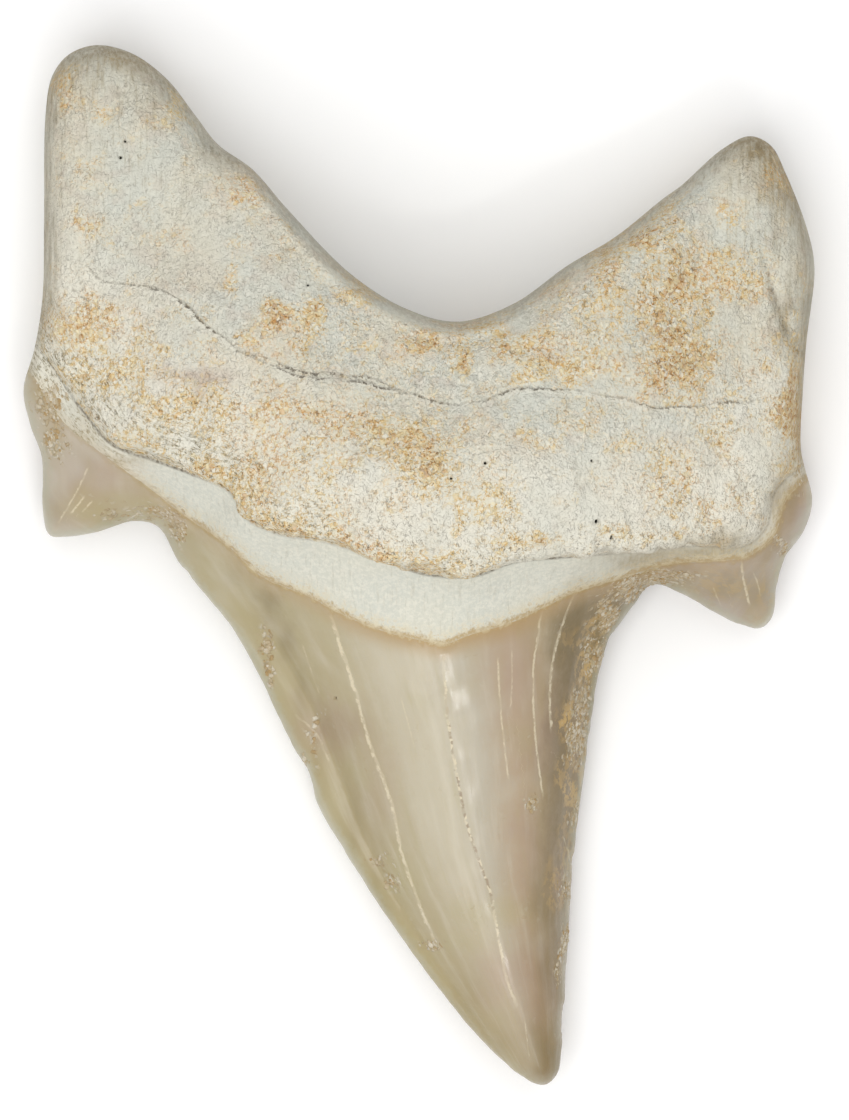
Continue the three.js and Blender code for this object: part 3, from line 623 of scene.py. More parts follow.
def root_relief(plan, points):
    """Lumps, pores and fibre grooves of the root, in millimetres along its normals."""
    broad = 0.38 * lumps(points, 5.2, 1) + 0.19 * lumps(points, 2.3, 2)
    pores = 0.07 * lumps(points, 0.9, 3) - 0.10 * ease(lumps(points, 0.7, 4), 0.2, 0.6)
    fibres = 0.12 * lumps(points, (0.62, 6.0, 0.9), 5) + 0.07 * lumps(points, (0.34, 3.0, 0.6), 6)
    lip = 0.24 * lumps(points, (1.7, 1.1, 1.5), 7) * ease(plan.past_ledge, 2.6, 0.6)
    scallops = 0.17 * lumps(points, (0.7, 0.7, 0.9), 8) * ease(plan.past_ledge, 1.4, 0.4)
    bulge_grooves = 0.21 * lumps(points, (1.3, 6.0, 4.0), 9) * ease(plan.past_ledge, 9, 3)
    folds = 0.08 * lumps(points, (5.0, 0.9, 4.0), 10) * ease(np.abs(plan.y - 12), 5, 1)
    fibres *= 0.2 + 0.8 * fibrous(plan)
    beside = np.column_stack([plan.past_ledge / 0.55, plan.along_ledge * 16, 0 * plan.x])
    folds += 0.16 * lumps(beside, 1, 19) * margin_flow(plan)
    folds -= FOLD_DEPTH * side_fold(plan, 0.6)
    return broad + pores + fibres + lip + scallops + bulge_grooves + folds


def margin_flow(plan):
    """Where the root's surface runs in folds beside its lower margin, most on the left."""
    return ease(plan.past_ledge, 4.5, 0.8) * (0.3 + 0.7 * ease(plan.x, -2, -12)) * plan.inner


def fibrous(plan):
    """How fibrous the bone is: most at the ends of the lobes."""
    left = ease(plan.y - 0.35 * (plan.x + 18), 15, 26) * (plan.x < 0)
    right = ease(plan.y, 12, 20) * (plan.x > 10)
    return np.maximum(left, right)


def side_fold(plan, reach):
    """The slanting groove where the right lobe turns to its outer side, from 0 to 1."""
    distance, along = nearest(SIDE_FOLD_LINE, plan.places)
    ends = ease(along, 0.1, 0.5) * ease(along, 1, 0.9)
    return ends * ease(np.abs(distance), reach, 0.05) * plan.inner


def enamel_relief(plan, points):
    """Soft swells of the enamel and the lengthwise facets that run to the point."""
    stretched = np.stack([plan.across * 6, points[:, 1] / 3, points[:, 2] / 4], axis=1)
    swells = 0.05 * lumps(points, 4.5, 11) + 0.02 * lumps(points, 1.6, 12)
    facets = 0.045 * lumps(stretched, 1.6, 13) + 0.018 * lumps(stretched, 0.7, 14)
    crust = 0.09 * ease(np.abs(plan.past_border), 0.5, 0.1) * (0.5 + lumps(points, 0.5, 15))
    x, y, reach_x, reach_y, height = GLEAM_SWELL
    away = ((plan.x - x) / reach_x) ** 2 + ((plan.y - y) / reach_y) ** 2
    swells += height * np.exp(-away / 2)
    nicks = -0.10 * ease(plan.depth, 1.1, 0.2) * ease(lumps(points, 0.9, 16), 0.1, 0.5)
    return swells + facets + crust + nicks


def neck_relief(points):
    """Faint swells of the neck and its lengthwise fibres."""
    return 0.035 * lumps(points, 2.6, 17) + 0.022 * lumps(points, (0.4, 5.0, 3.0), 18)


def relief(plan, points, strength):
    """How far the worn surface stands proud of the drawn one."""
    root = ease(plan.past_ledge, 0.05, 0.5) if plan.inner else ease(plan.past_border, 0, 0.8)
    enamel = ease(plan.past_border, 0.2, -0.1)
    neck = (1 - root) * (1 - enamel)
    total = root * root_relief(plan, points) + enamel * enamel_relief(plan, points)
    total += neck * neck_relief(points) + 0.12 * ease(plan.past_border, -0.15, 0.2)
    distance, opening = crack_distance(plan)
    total -= opening * CRACK_DEPTH * ease(np.abs(distance), 0.22, 0.05)
    total -= opening * CRACK_DIP * ease(np.abs(distance), 1.0, 0.1)
    total = np.where(total > 0, total * ease(plan.depth, 0.4, 3.0), total)
    worn = strength * total * ease(plan.depth, -0.1, 0.7)
    return worn - PINHOLE_DEPTH * hole_depth(plan)


def overhang(plan, reach):
    """Moves the root's lower margin out over the neck, unevenly."""
    line = spaced(LEDGE_LINE, DISTANCE_STEP)
    i = np.clip((nearest(line, plan.places)[1] * (len(line) - 1)).astype(int), 0, len(line) - 1)
    flat = np.column_stack([plan.places, 0 * plan.x])
    wander = 1 + 0.9 * lumps(flat, 1.3, 21) + 0.6 * lumps(flat, 0.55, 27)
    share = ease(plan.past_ledge, 0.02, 0.45) * ease(plan.past_ledge, 3.2, 0.9)
    sides = 0.3 + 0.7 * ease(np.abs(plan.x - 5), 17, 5)
    shift = reach * share * wander * sides * ease(plan.depth, 0.6, 2.5)
    return -shift[:, None] * lefts(line)[i]


def chipped(plan, amount):
    """Draws the cutting edges in where they are nicked."""
    i = np.clip((plan.along * (len(OUTLINE_LINE) - 1)).astype(int), 0, len(OUTLINE_LINE) - 2)
    edge = OUTLINE_LINE[i]
    at_edge = np.stack([edge[:, 0], edge[:, 1], 0 * plan.x], axis=1)
    nick = ease(lumps(at_edge, 1.6, 22), 0.05, 0.7) + 0.35 * lumps(at_edge, 0.8, 23)
    blade = ease(plan.past_border, 0.5, -0.5) * (0.35 + 0.65 * ease(plan.y, 2, -2))
    inward = lefts(np.vstack([OUTLINE_LINE[-2:-1], OUTLINE_LINE]))[1:][i]
    shift = amount * nick * blade * ease(plan.depth, 1.0, 0.0)
    return shift[:, None] * inward


# ---- The tooth's mesh ------------------------------------------------------------------------


def to_frame(points):
    """Drawn millimetres to metres in the frame, with the outline's box on the CAD tooth's box."""
    low, high = OUTLINE_LINE.min(0), OUTLINE_LINE.max(0)
    scale = (TOOTH_HIGH.y - TOOTH_LOW.y) / (high[1] - low[1])
    middle = np.append((low + high) / 2, 0)
    home = np.array([(TOOTH_LOW.x + TOOTH_HIGH.x) / 2, (TOOTH_LOW.y + TOOTH_HIGH.y) / 2,
                     TOOTH_LOW.z])
    return (points - middle) * scale + home


def hairline_fields(plan):
    """Signed distance from the nearest listed line, in half widths, its strength and its dashes.
    The lines are hairlines and painted highlight streaks.
    """
    reach, strength = np.full(len(plan.places), 99.0), np.zeros(len(plan.places))
    dashes = np.zeros(len(plan.places))
    for half_width, weight, dark, points in INNER_HAIRLINES_AND_GLINTS if plan.inner else OUTER_HAIRLINES:
        distance, along = nearest(spaced(smooth_curve(points), DISTANCE_STEP), plan.places)
        distance /= half_width
        closer = np.abs(distance) < np.abs(reach)
        fade = ease(along, 0, 0.08) * ease(along, 1, 0.9)
        reach = np.where(closer, distance, reach)
        strength = np.where(closer, weight * fade, strength)
        dashes = np.where(closer, dark * ease(along, 0.1, 0.3) * ease(along, 1, 0.7), dashes)
    return reach, strength, dashes


def ragged(points, reach):
    """Places moved about unevenly, so that patches drawn over them get ragged outlines."""
    sideways = lumps(points, 2.6, 34) + 0.6 * lumps(points, 0.9, 35)
    lengthwise = lumps(points, 2.6, 36) + 0.6 * lumps(points, 0.9, 37)
    return points[:, :2] + reach * np.stack([sideways, lengthwise], axis=1)


def patch_fields(plan, points):
    """How far patches cover each place. On the outer face noise stands in for some of them."""
    loose, close = ragged(points, 0.9), ragged(points, 0.5)
    if plan.inner:
        ochre, rust = cover(OCHRE_PATCHES, loose), cover(RUST_PATCHES, loose)
        blush, crumbs = cover(BLUSH_PATCHES, loose), cover(CRUMB_PATCHES, close)
        # Darker zones, with painted shade in the left furrow and under the ledge among them.
        shade = cover(SHADE_PATCHES, close)
        margin = ease(plan.past_ledge, 1.9, 0.3) * ease(plan.x, 7, 2)
        margin *= 0.3 + 0.7 * ease(plan.x, -18, -12)
        ochre = np.maximum(ochre, 0.62 * margin * (1 + 0.8 * lumps(points, 1.9, 43)))
    else:
        ochre = 0.55 * ease(lumps(points, 6.0, 31), -0.1, 0.5)
        rust, blush = 0.5 * ochre**2, 0.5 * ease(lumps(points, 5.0, 32), 0, 0.5)
        crumbs, shade = 0.5 * ease(lumps(points, 3.5, 33), 0.3, 0.6), 0 * plan.x
    broken = 0.45 * lumps(points, 2.1, 40) + 0.45 * lumps(points, 0.9, 41)
    calm = 0.6 * ease(lumps(points, 3.4, 45), 0, 0.4)
    return {
        "ochre": ochre + 0.2 + broken * (0.5 + 0.7 * ochre),
        "rust": rust,
        "blush": blush,
        "crumbs": crumbs,
        "shade": shade,
        # Brown dirt on the lobes, and painted shade along the outer edges and on the neck under
        # the ledge.
        "dirt": cover(DIRT_AND_SHADE_PATCHES, loose),
        "calm": np.maximum(cover(CALM_PATCHES, loose), calm),
    }


def line_fields(plan):
    """Where cracks, hairlines, the painted highlight streaks, pinholes, the side fold and the
    painted shade line under the ledge run.
    """
    crack, crack_open = crack_distance(plan)
    hairline, hairline_strength, dashes = hairline_fields(plan)
    under_middle = ease(np.abs(plan.x - 5), 9, 3)
    under_left = ease(np.abs(plan.x + 17.5), 5, 3)
    return {
        "crack": crack,
        "crack_open": crack_open,
        "crack_gap": 0.16 * ease(np.abs(plan.x + 6), 6, 3),
        "hairline": hairline,
        "hairline_strength": hairline_strength,
        "dashes": dashes,
        "pinhole": hole_depth(plan),
        "fold": side_fold(plan, 0.24),
        "flow": margin_flow(plan),
        # Strength of the painted shade line under the ledge, most in the middle and at the left
        # end.
        "ledge_dirt": 0.25 + 0.75 * np.maximum(under_middle, under_left),
    }


def marking_fields(plan, points):
    """Named values at each vertex, which the materials read."""
    wear = plan.depth * (1 + 0.4 * lumps(points, 1.8, 42))
    return {
        "past_ledge": plan.past_ledge if plan.inner else plan.past_border + 3,
        "along_ledge": plan.along_ledge,
        "past_border": plan.past_border,
        "edge_depth": wear * (1 if plan.inner else 2.5),
        "across": np.clip(plan.across, -2.5, 2.5),
        "cusplet": plan.cusplet,
        "clouds": lumps(points, 4.2, 38) + 0.5 * lumps(points, 1.7, 39),
        "fibres": fibrous(plan),
        "neck_ends": np.maximum(ease(plan.x, -16, -20), ease(plan.x, 20, 22.5)),
        "bare_border": ease(plan.x, -14, -19),
        **patch_fields(plan, points),
        **line_fields(plan),
    }


def tooth_face(rim, spacing, inner, sizes):
    """One face of the tooth: its points in drawn millimetres, its triangles and its fields."""
    coarse = 1 if inner else OUTER_COARSENESS
    bands = []
    if inner:
        bands = [(LEDGE_LINE, LEDGE_ROWS), (INNER_BORDER_LINE, BORDER_ROWS)]
        bands += [(line, CRACK_ROWS) for line in CRACK_LINES]
    depths = RING_DEPTHS if inner else RING_DEPTHS[1::2]
    places = detailed_places(rim, spacing * coarse, bands, depths)
    places, faces = triangles_over(places, len(rim))
    plan = Plan(places, len(rim), inner)
    height = inner_height(plan, sizes.ledge_step / MM) if inner else outer_height(plan)
    points = np.column_stack([places, height])
    if inner:
        points[:, :2] += overhang(plan, sizes.overhang / MM)
    points[:, :2] += chipped(plan, sizes.edge_wear / MM)
    if not inner:
        faces = faces[:, ::-1]
    proud = relief(plan, points, sizes.relief * (1 if inner else 0.6))
    points += proud[:, None] * vertex_normals(points, faces)
    points[:, 2] = np.maximum(points[:, 2], 0)
    return points, faces, marking_fields(plan, points)


def rim_strip(upper, lower, count):
    """Two triangles a step between two loops of points."""
    i = np.arange(count)
    j = (i + 1) % count
    first = np.stack([lower + i, lower + j, upper + j], axis=1)
    second = np.stack([lower + i, upper + j, upper + i], axis=1)
    return np.vstack([first, second])


def new_mesh(name, points, faces, fields, materials, slots):
    """A smooth mesh object from arrays, with a float attribute for each field."""
    mesh = bpy.data.meshes.new(name)
    mesh.vertices.add(len(points))
    mesh.vertices.foreach_set("co", points.astype(np.float32).ravel())
    mesh.loops.add(faces.size)
    mesh.loops.foreach_set("vertex_index", faces.astype(np.int32).ravel())
    mesh.polygons.add(len(faces))
    mesh.polygons.foreach_set("loop_start", np.arange(0, faces.size, 3, dtype=np.int32))
    for material in materials:
        mesh.materials.append(material)
    mesh.polygons.foreach_set("material_index", slots.astype(np.int32))
    mesh.update(calc_edges=True)
    mesh.validate()
    mesh.shade_smooth()
    for label, values in fields.items():
        attribute = mesh.attributes.new(label, "FLOAT", "POINT")
        attribute.data.foreach_set("value", np.asarray(values, np.float32))
    piece = bpy.data.objects.new(name, mesh)
    bpy.context.scene.collection.objects.link(piece)
    return piece


def build_tooth(sizes, materials):
    """The whole tooth as one closed mesh: inner face, outer face and the rim between them."""
    spacing = sizes.spacing / MM * 1
    rim = spaced(smooth_curve(OUTLINE, closed=True), spacing * 1.2)[:-1]
    upper, upper_faces, upper_fields = tooth_face(rim, spacing, True, sizes)
    lower, lower_faces, lower_fields = tooth_face(rim, spacing, False, sizes)
    count = len(rim)
    middle = (upper[:count] + lower[:count]) / 2
    middle[:, :2] -= RIM_BULGE * loop_lefts(rim)
    points = np.vstack([upper, lower, middle])
    low_start, middle_start = len(upper), len(upper) + len(lower)
    faces = np.vstack([
        upper_faces,
        lower_faces + low_start,
        rim_strip(middle_start, low_start, count),
        rim_strip(0, middle_start, count),
    ])
    fields = {
        label: np.concatenate([upper_fields[label], lower_fields[label],
                               upper_fields[label][:count]])
        for label in upper_fields
    }
    on_bone = fields["past_border"][faces].mean(1) > 0
    return new_mesh("tooth_body", to_frame(points), faces, fields, materials,
                    np.where(on_bone, 0, 1))


# ---- Matrix grains ---------------------------------------------------------------------------

GRAIN_FLATTENING = 0.45  # how far a grain is pressed flat on the tooth
GRAIN_SINKING = 0.2  # how deep its middle lies below the surface, in its radii
FEW_LARGE = 2.6  # a higher power makes large grains rarer
CLUMP_SIZE = 0.8  # spread of the clumps that grains lie in


def ball():
    """Points and triangles of a small round stone."""
    golden = (1 + 5**0.5) / 2
    corners = [(-1, golden, 0), (1, golden, 0), (-1, -golden, 0), (1, -golden, 0),
               (0, -1, golden), (0, 1, golden), (0, -1, -golden), (0, 1, -golden),
               (golden, 0, -1), (golden, 0, 1), (-golden, 0, -1), (-golden, 0, 1)]
    sides = [(0, 11, 5), (0, 5, 1), (0, 1, 7), (0, 7, 10), (0, 10, 11), (1, 5, 9), (5, 11, 4),
             (11, 10, 2), (10, 7, 6), (7, 1, 8), (3, 9, 4), (3, 4, 2), (3, 2, 6), (3, 6, 8),
             (3, 8, 9), (4, 9, 5), (2, 4, 11), (6, 2, 10), (8, 6, 7), (9, 8, 1)]
    points, faces, halves = [Vector(p).normalized() for p in corners], [], {}

    def half(a, b):
        key = (min(a, b), max(a, b))
        if key not in halves:
            halves[key] = len(points)
            points.append((points[a] + points[b]).normalized())
        return halves[key]

    for a, b, c in sides:
        ab, bc, ca = half(a, b), half(b, c), half(c, a)
        faces += [(a, ab, ca), (ab, b, bc), (ca, bc, c), (ab, bc, ca)]
    return np.array([tuple(p) for p in points]), np.array(faces)


def scatter(tooth, count, rng):
    """Random places on the tooth where crumbs cling, with the normals and the field there."""
    mesh = tooth.data
    points = np.empty(len(mesh.vertices) * 3)
    mesh.vertices.foreach_get("co", points)
    points = points.reshape(-1, 3)
    corners = np.empty(len(mesh.polygons) * 3, int)
    mesh.polygons.foreach_get("vertices", corners)
    corners = corners.reshape(-1, 3)
    field = np.empty(len(points))
    mesh.attributes["crumbs"].data.foreach_get("value", field)
    a, b, c = (points[corners[:, i]] for i in range(3))
    cross = np.cross(b - a, c - a)
    area = np.linalg.norm(cross, axis=1)
    clumps = ease(lumps((a + b + c) / 3 / MM, CLUMP_SIZE, 41), -0.25, 0.45)
    density = field[corners].mean(1)
    weight = area * ease(density, 0.2, 0.9) * (0.2 + clumps)
    weight *= cross[:, 2] > -0.2 * area
    chosen = rng.choice(len(area), count, p=weight / weight.sum())
    u, v = rng.random((2, count))
    over = u + v > 1
    u[over], v[over] = 1 - u[over], 1 - v[over]
    place = a[chosen] + u[:, None] * (b - a)[chosen] + v[:, None] * (c - a)[chosen]
    return place, cross[chosen] / area[chosen][:, None], density[chosen]


def random_turns(count, rng):
    """Random rotation matrices."""
    first = rng.normal(size=(count, 3))
    first /= np.linalg.norm(first, axis=1)[:, None]
    second = np.cross(first, rng.normal(size=(count, 3)))
    second /= np.linalg.norm(second, axis=1)[:, None]
    return np.stack([first, second, np.cross(first, second)], axis=1)


def build_grains(tooth, sizes, material):
    """Grains of rock stuck in clusters to the edges of the crown and its cusplets."""
    rng = np.random.default_rng(sizes.seed)
    count = sizes.count
    place, normal, density = scatter(tooth, count, rng)
    radius = sizes.smallest + (sizes.largest - sizes.smallest) * rng.random(count) ** FEW_LARGE
    radius *= 0.7 + 0.5 * density
    stone, stone_faces = ball()
    stretch = 0.6 + 0.7 * rng.random((count, 1, 3))
    rough = 1 + 0.35 * (rng.random((count, len(stone), 1)) - 0.5)
    shaped = (stone[None] * stretch * rough) @ random_turns(count, rng)
    upright = (shaped * normal[:, None]).sum(2)
    shaped -= GRAIN_FLATTENING * upright[..., None] * normal[:, None]
    centre = place - normal * (radius * GRAIN_SINKING)[:, None]
    points = (shaped * radius[:, None, None] + centre[:, None]).reshape(-1, 3)
    faces = stone_faces[None] + (np.arange(count) * len(stone))[:, None, None]
    tint = np.repeat(rng.random(count), len(stone))
    faces = faces.reshape(-1, 3)
    return new_mesh("matrix_grains", points, faces, {"tint": tint}, [material],
                    np.zeros(len(faces)))


# ---- Shader wiring ---------------------------------------------------------------------------


class Wiring:
    """Adds nodes to one tree and links values into them."""

    def __init__(self, tree):
        self.tree = tree

    def put(self, socket, value):
        if isinstance(value, bpy.types.NodeSocket):
            self.tree.links.new(value, socket)
        elif socket.type == "RGBA":
            socket.default_value = (*value, 1.0)
        else:
            socket.default_value = value

    def node(self, kind, inputs=None, **settings):
        made = self.tree.nodes.new("ShaderNode" + kind)
        for name, value in settings.items():
            setattr(made, name, value)
        for socket, value in (inputs or {}).items():
            self.put(made.inputs[socket], value)
        return made

    def math(self, operation, *values, clamp=False):
        made = self.node("Math", dict(enumerate(values)), operation=operation, use_clamp=clamp)
        return made.outputs[0]

    def times(self, *values):
        result = values[0]
        for value in values[1:]:
            result = self.math("MULTIPLY", result, value)
        return result

    def plus(self, *values):
        result = values[0]
        for value in values[1:]:
            result = self.math("ADD", result, value)
        return result

    def minus(self, first, second):
        return self.math("SUBTRACT", first, second)

    def larger(self, first, second):
        return self.math("MAXIMUM", first, second)

    def absolute(self, value):
        return self.math("ABSOLUTE", value)

    def ease(self, value, start, end, low=0.0, high=1.0, kind="SMOOTHSTEP"):
        """Low up to start, high from end on, smooth between. Start lies before end."""
        inputs = {"Value": value, "From Min": start, "From Max": end, "To Min": low,
                  "To Max": high}
        return self.node("MapRange", inputs, interpolation_type=kind).outputs["Result"]

    def fade(self, value, start, end):
        """1 up to start, 0 from end on, smooth between."""
        return self.ease(value, start, end, 1.0, 0.0)

    def even(self, value, start, end, low=0.0, high=1.0):
        """As ease, with a straight run between."""
        return self.ease(value, start, end, low, high, "LINEAR")

    def mix(self, factor, first, second):
        made = self.node("Mix", {0: factor, 6: first, 7: second}, data_type="RGBA")
        return made.outputs[2]

    def noise(self, vector, scale, detail=2.0, roughness=0.5):
        inputs = {"Vector": vector, "Scale": scale, "Detail": detail, "Roughness": roughness}
        return self.node("TexNoise", inputs).outputs[0]

    def field(self, name):
        return self.node("Attribute", attribute_name=name).outputs["Fac"]

    def stretched(self, vector, scale):
        made = self.node("VectorMath", {0: vector, 1: scale}, operation="MULTIPLY")
        return made.outputs["Vector"]

    def millimetres(self):
        """Places on the piece, in millimetres."""
        place = self.node("TexCoord").outputs["Object"]
        return self.stretched(place, (1 / MM, 1 / MM, 1 / MM))

    def group(self, name, inputs):
        made = self.node("Group")
        made.node_tree = bpy.data.node_groups[name]
        for socket, value in inputs.items():
            self.put(made.inputs[socket], value)
        return made.outputs


class Finish(Wiring):
    """One material: its shader, its colours by name, and the colour its coats have built up."""

    def __init__(self, name, colours, ground=None):
        self.material = bpy.data.materials.new(name)
        self.material.use_nodes = True
        self.material.node_tree.nodes.clear()
        super().__init__(self.material.node_tree)
        self.colours, self.colour = colours, ground
        self.shader = self.node("BsdfPrincipled")
        self.node("OutputMaterial", {"Surface": self.shader.outputs["BSDF"]})

    def put(self, socket, value):
        """A colour may be given as the name of its property."""
        super().put(socket, self.named(value) if isinstance(value, str) else value)

    def named(self, name):
        return tuple(getattr(self.colours, name))

    def coat(self, cover, colour):
        """Lays a colour over the ones before it, as thick as cover says, from 0 to 1."""
        self.colour = self.mix(cover, self.colour, colour)

    def ramp(self, value, stops):
        """Named colours at places along a value, from 0 to 1."""
        made = self.node("ValToRGB", {"Fac": value})
        elements = made.color_ramp.elements
        for element, (place, name) in zip(elements, (stops[0], stops[-1])):
            element.position, element.color = place, (*self.named(name), 1)
        for place, name in stops[1:-1]:
            elements.new(place).color = (*self.named(name), 1)
        return made.outputs["Color"]

    def surface(self, inputs):
        """The shader's own inputs, with the colour as its base."""
        self.put(self.shader.inputs["Base Color"], self.colour)
        for name, value in inputs.items():
            self.put(self.shader.inputs[name], value)

    def bump(self, height, strength, millimetres):
        inputs = {"Height": height, "Strength": strength, "Distance": millimetres * MM}
        normal = self.node("Bump", inputs).outputs["Normal"]
        self.put(self.shader.inputs["Normal"], normal)


# ---- Shared effects --------------------------------------------------------------------------

VECTOR = None  # stands for the default value of a group's vector input


def new_group(name, inputs):
    """An empty node group with named inputs and their default values: its wiring and inputs."""
    tree = bpy.data.node_groups.new(name, "ShaderNodeTree")
    for label, default in inputs.items():
        kind = "NodeSocketVector" if default is VECTOR else "NodeSocketFloat"
        socket = tree.interface.new_socket(label, in_out="INPUT", socket_type=kind)
        if default is not VECTOR:
            socket.default_value = default
    return Wiring(tree), tree.nodes.new("NodeGroupInput").outputs


def give(w, outputs):
    """Gives a group its named outputs, which are numbers."""
    for label in outputs:
        w.tree.interface.new_socket(label, in_out="OUTPUT", socket_type="NodeSocketFloat")
    result = w.tree.nodes.new("NodeGroupOutput")
    for label, value in outputs.items():
        w.put(result.inputs[label], value)


def group_bone_grain():
    """Chalky grain: its tone, short dark marks, its height, and grains with two random values."""
    w, given = new_group("bone grain", {"Place": VECTOR, "Marks": 0.5})
    sway = w.node("TexNoise", {"Vector": given["Place"], "Scale": 2.5, "Detail": 1.0})
    sway = w.stretched(sway.outputs["Color"], (0.5, 0.5, 0.5))
    swayed = w.node("VectorMath", {0: given["Place"], 1: sway}, operation="ADD")
    cells = w.node("TexVoronoi", {"Vector": swayed.outputs["Vector"], "Scale": 3.8})
    parts = w.node("SeparateColor", {"Color": cells.outputs["Color"]})
    gaps = w.ease(cells.outputs["Distance"], 0.35, 0.65)
    grain = w.noise(given["Place"], 3.4, 3.0, 0.75)
    slant = w.noise(w.stretched(given["Place"], (1.0, 0.6, 1.0)), 3.2, 2.0, 0.6)
    line = w.fade(w.absolute(w.minus(slant, 0.5)), 0.0, 0.04)
    marks = w.times(line, w.ease(grain, 0.5, 0.6), given["Marks"])
    proud = w.plus(grain, w.times(slant, 0.8))
    sunk = w.plus(w.times(marks, 0.4), w.times(gaps, 0.3))
    give(w, {"Tone": grain, "Marks": marks, "Height": w.minus(proud, sunk),
             "Tint": parts.outputs["Red"], "Pick": parts.outputs["Green"], "Gaps": gaps})


def group_iron_stain():
    """Iron stain: a soft halo, the broken net of lines it has crept along, and their cores."""
    w, given = new_group("iron stain", {"Place": VECTOR, "Density": 0.0, "Grain": 0.5})
    gap = w.absolute(w.minus(w.noise(given["Place"], 2.4, 2.0, 0.7), 0.5))
    present = w.ease(given["Density"], 0.1, 1.1)
    reach = w.plus(0.04, w.times(w.ease(given["Grain"], 0.42, 0.62), 0.085))
    lines = w.even(gap, 0.0, reach, 1.0, 0.0)
    broken = w.times(lines, w.ease(given["Grain"], 0.4, 0.54, 0.1, 1.0))
    give(w, {"Halo": present, "Net": w.times(broken, w.ease(given["Density"], 0.14, 0.7)),
             "Core": w.times(w.ease(broken, 0.55, 0.9), present)})


def group_fine_crack():
    """A crack or hairline beside a signed distance. With a gap it has two lips."""
    w, given = new_group("fine crack", {
        "Distance": 9.0, "Strength": 1.0, "Width": 0.1, "Gap": 0.0, "Grain": 0.5,
        "Wander": 0.1, "Faintest": 0.3})
    wander = w.times(w.minus(given["Grain"], 0.5), given["Wander"])
    distance = w.absolute(w.plus(given["Distance"], wander))
    lip = w.absolute(w.minus(distance, given["Gap"]))
    line = w.fade(lip, w.times(given["Width"], 0.3), given["Width"])
    broken = w.ease(given["Grain"], 0.42, 0.56, given["Faintest"], 1.0)
    between = w.even(distance, 0.0, given["Gap"], 1.0, 0.0)
    give(w, {"Line": w.times(line, given["Strength"], broken),
             "Between": w.times(between, given["Strength"])})


def group_border_crust():
    """The crumbly upper border of the enamel and the shade just below it."""
    w, given = new_group("border crust", {"Place": VECTOR, "Distance": 9.0})
    jag = w.noise(given["Place"], 1.7, 3.0, 0.75)
    shifted = w.plus(given["Distance"], w.times(w.minus(jag, 0.5), 1.2))
    above = w.times(w.ease(shifted, -0.1, 0.1), w.fade(shifted, 0.1, 1.3))
    loose = w.times(above, w.ease(w.noise(given["Place"], 3.4, 2.0, 0.6), 0.54, 0.62), 0.8)
    crust = w.larger(w.fade(w.absolute(w.plus(shifted, -0.05)), 0.0, 0.36), loose)
    below = w.times(w.fade(shifted, -0.1, 0.05), w.ease(given["Distance"], -1.4, 0.0))
    give(w, {"Crust": w.times(crust, w.ease(jag, 0.42, 0.58, 1.0, 0.6)),
             "Crumbs": w.times(above, w.ease(jag, 0.46, 0.56, 0.15, 1.0)),
             "Shade": below})


def group_edge_wear():
    """Worn margin inside an edge, given the depth from it."""
    w, given = new_group("edge wear", {"Depth": 9.0, "Reach": 1.0, "Grain": 0.5})
    grain = w.ease(given["Grain"], 0.3, 0.7, 0.6, 1.4)
    depth = w.math("DIVIDE", given["Depth"], w.times(given["Reach"], grain))
    give(w, {"Worn": w.fade(depth, 0.1, 1.0)})


def build_groups():
    """Every shared effect, once."""
    if "bone grain" in bpy.data.node_groups:
        return
    for build in (group_bone_grain, group_iron_stain, group_fine_crack, group_border_crust,
                  group_edge_wear):
        build()


# ---- Root bone -------------------------------------------------------------------------------

# Painted shade: the near-black inside a pinhole.
ROOT_HOLE_SHADE = (0.02, 0.018, 0.015)  # colour inside a pinhole


def chalk(w, place, grain, grit):
    """Mottled chalk with pale flecks and grey pores, cooler where it is calm."""
    tone = grain["Tone"]
    w.colour = w.mix(w.ease(w.field("clouds"), -0.6, 0.6), "chalk", "cream")
    w.coat(w.times(w.ease(tone, 0.46, 0.64, 0.0, 0.65), grit), "pale")
    w.coat(w.times(w.ease(tone, 0.34, 0.48, 0.38, 0.0), grit), "speck")
    w.coat(w.times(w.ease(grain["Tint"], 0.7, 0.95), grit, 0.4), "pale")
    w.coat(w.times(w.fade(grain["Pick"], 0.04, 0.16), grit, 0.12), "speck")
    hue = w.noise(place, 0.8, 1.0, 0.6)
    w.coat(w.ease(hue, 0.52, 0.68, 0.0, 0.25), "blush")
    w.coat(w.larger(w.ease(hue, 0.32, 0.46, 0.3, 0.0), w.times(w.field("calm"), 0.6)), "neck")


def neck_and_lit_bulge(w, tone, streak, grit, bony):
    """The smooth neck and its darker patches, painted shade under the ledge among them, then
    painted light that makes the root's bulge just above the ledge paler.
    """
    neck = w.mix(w.ease(w.field("clouds"), -0.6, 0.6), "neck", "chalk")
    neck = w.mix(w.ease(tone, 0.42, 0.62, 0.0, 0.45), neck, "pale")
    neck = w.mix(w.ease(streak, 0.52, 0.7, 0.0, 0.24), neck, "speck")
    w.coat(w.times(w.minus(1.0, bony), 0.9), neck)
    # Painted shade on the neck under the ledge on the right, and darker tan at the neck's left
    # end.
    w.coat(w.times(w.field("shade"), 0.6), "dirt")
    # Painted light: the bulge above the ledge made paler, as if it faced the main lamp.
    lit_bulge = w.times(w.ease(w.field("past_ledge"), 3.0, 10.0, 0.77, 0.0), bony)
    w.coat(w.times(lit_bulge, grit), "pale")


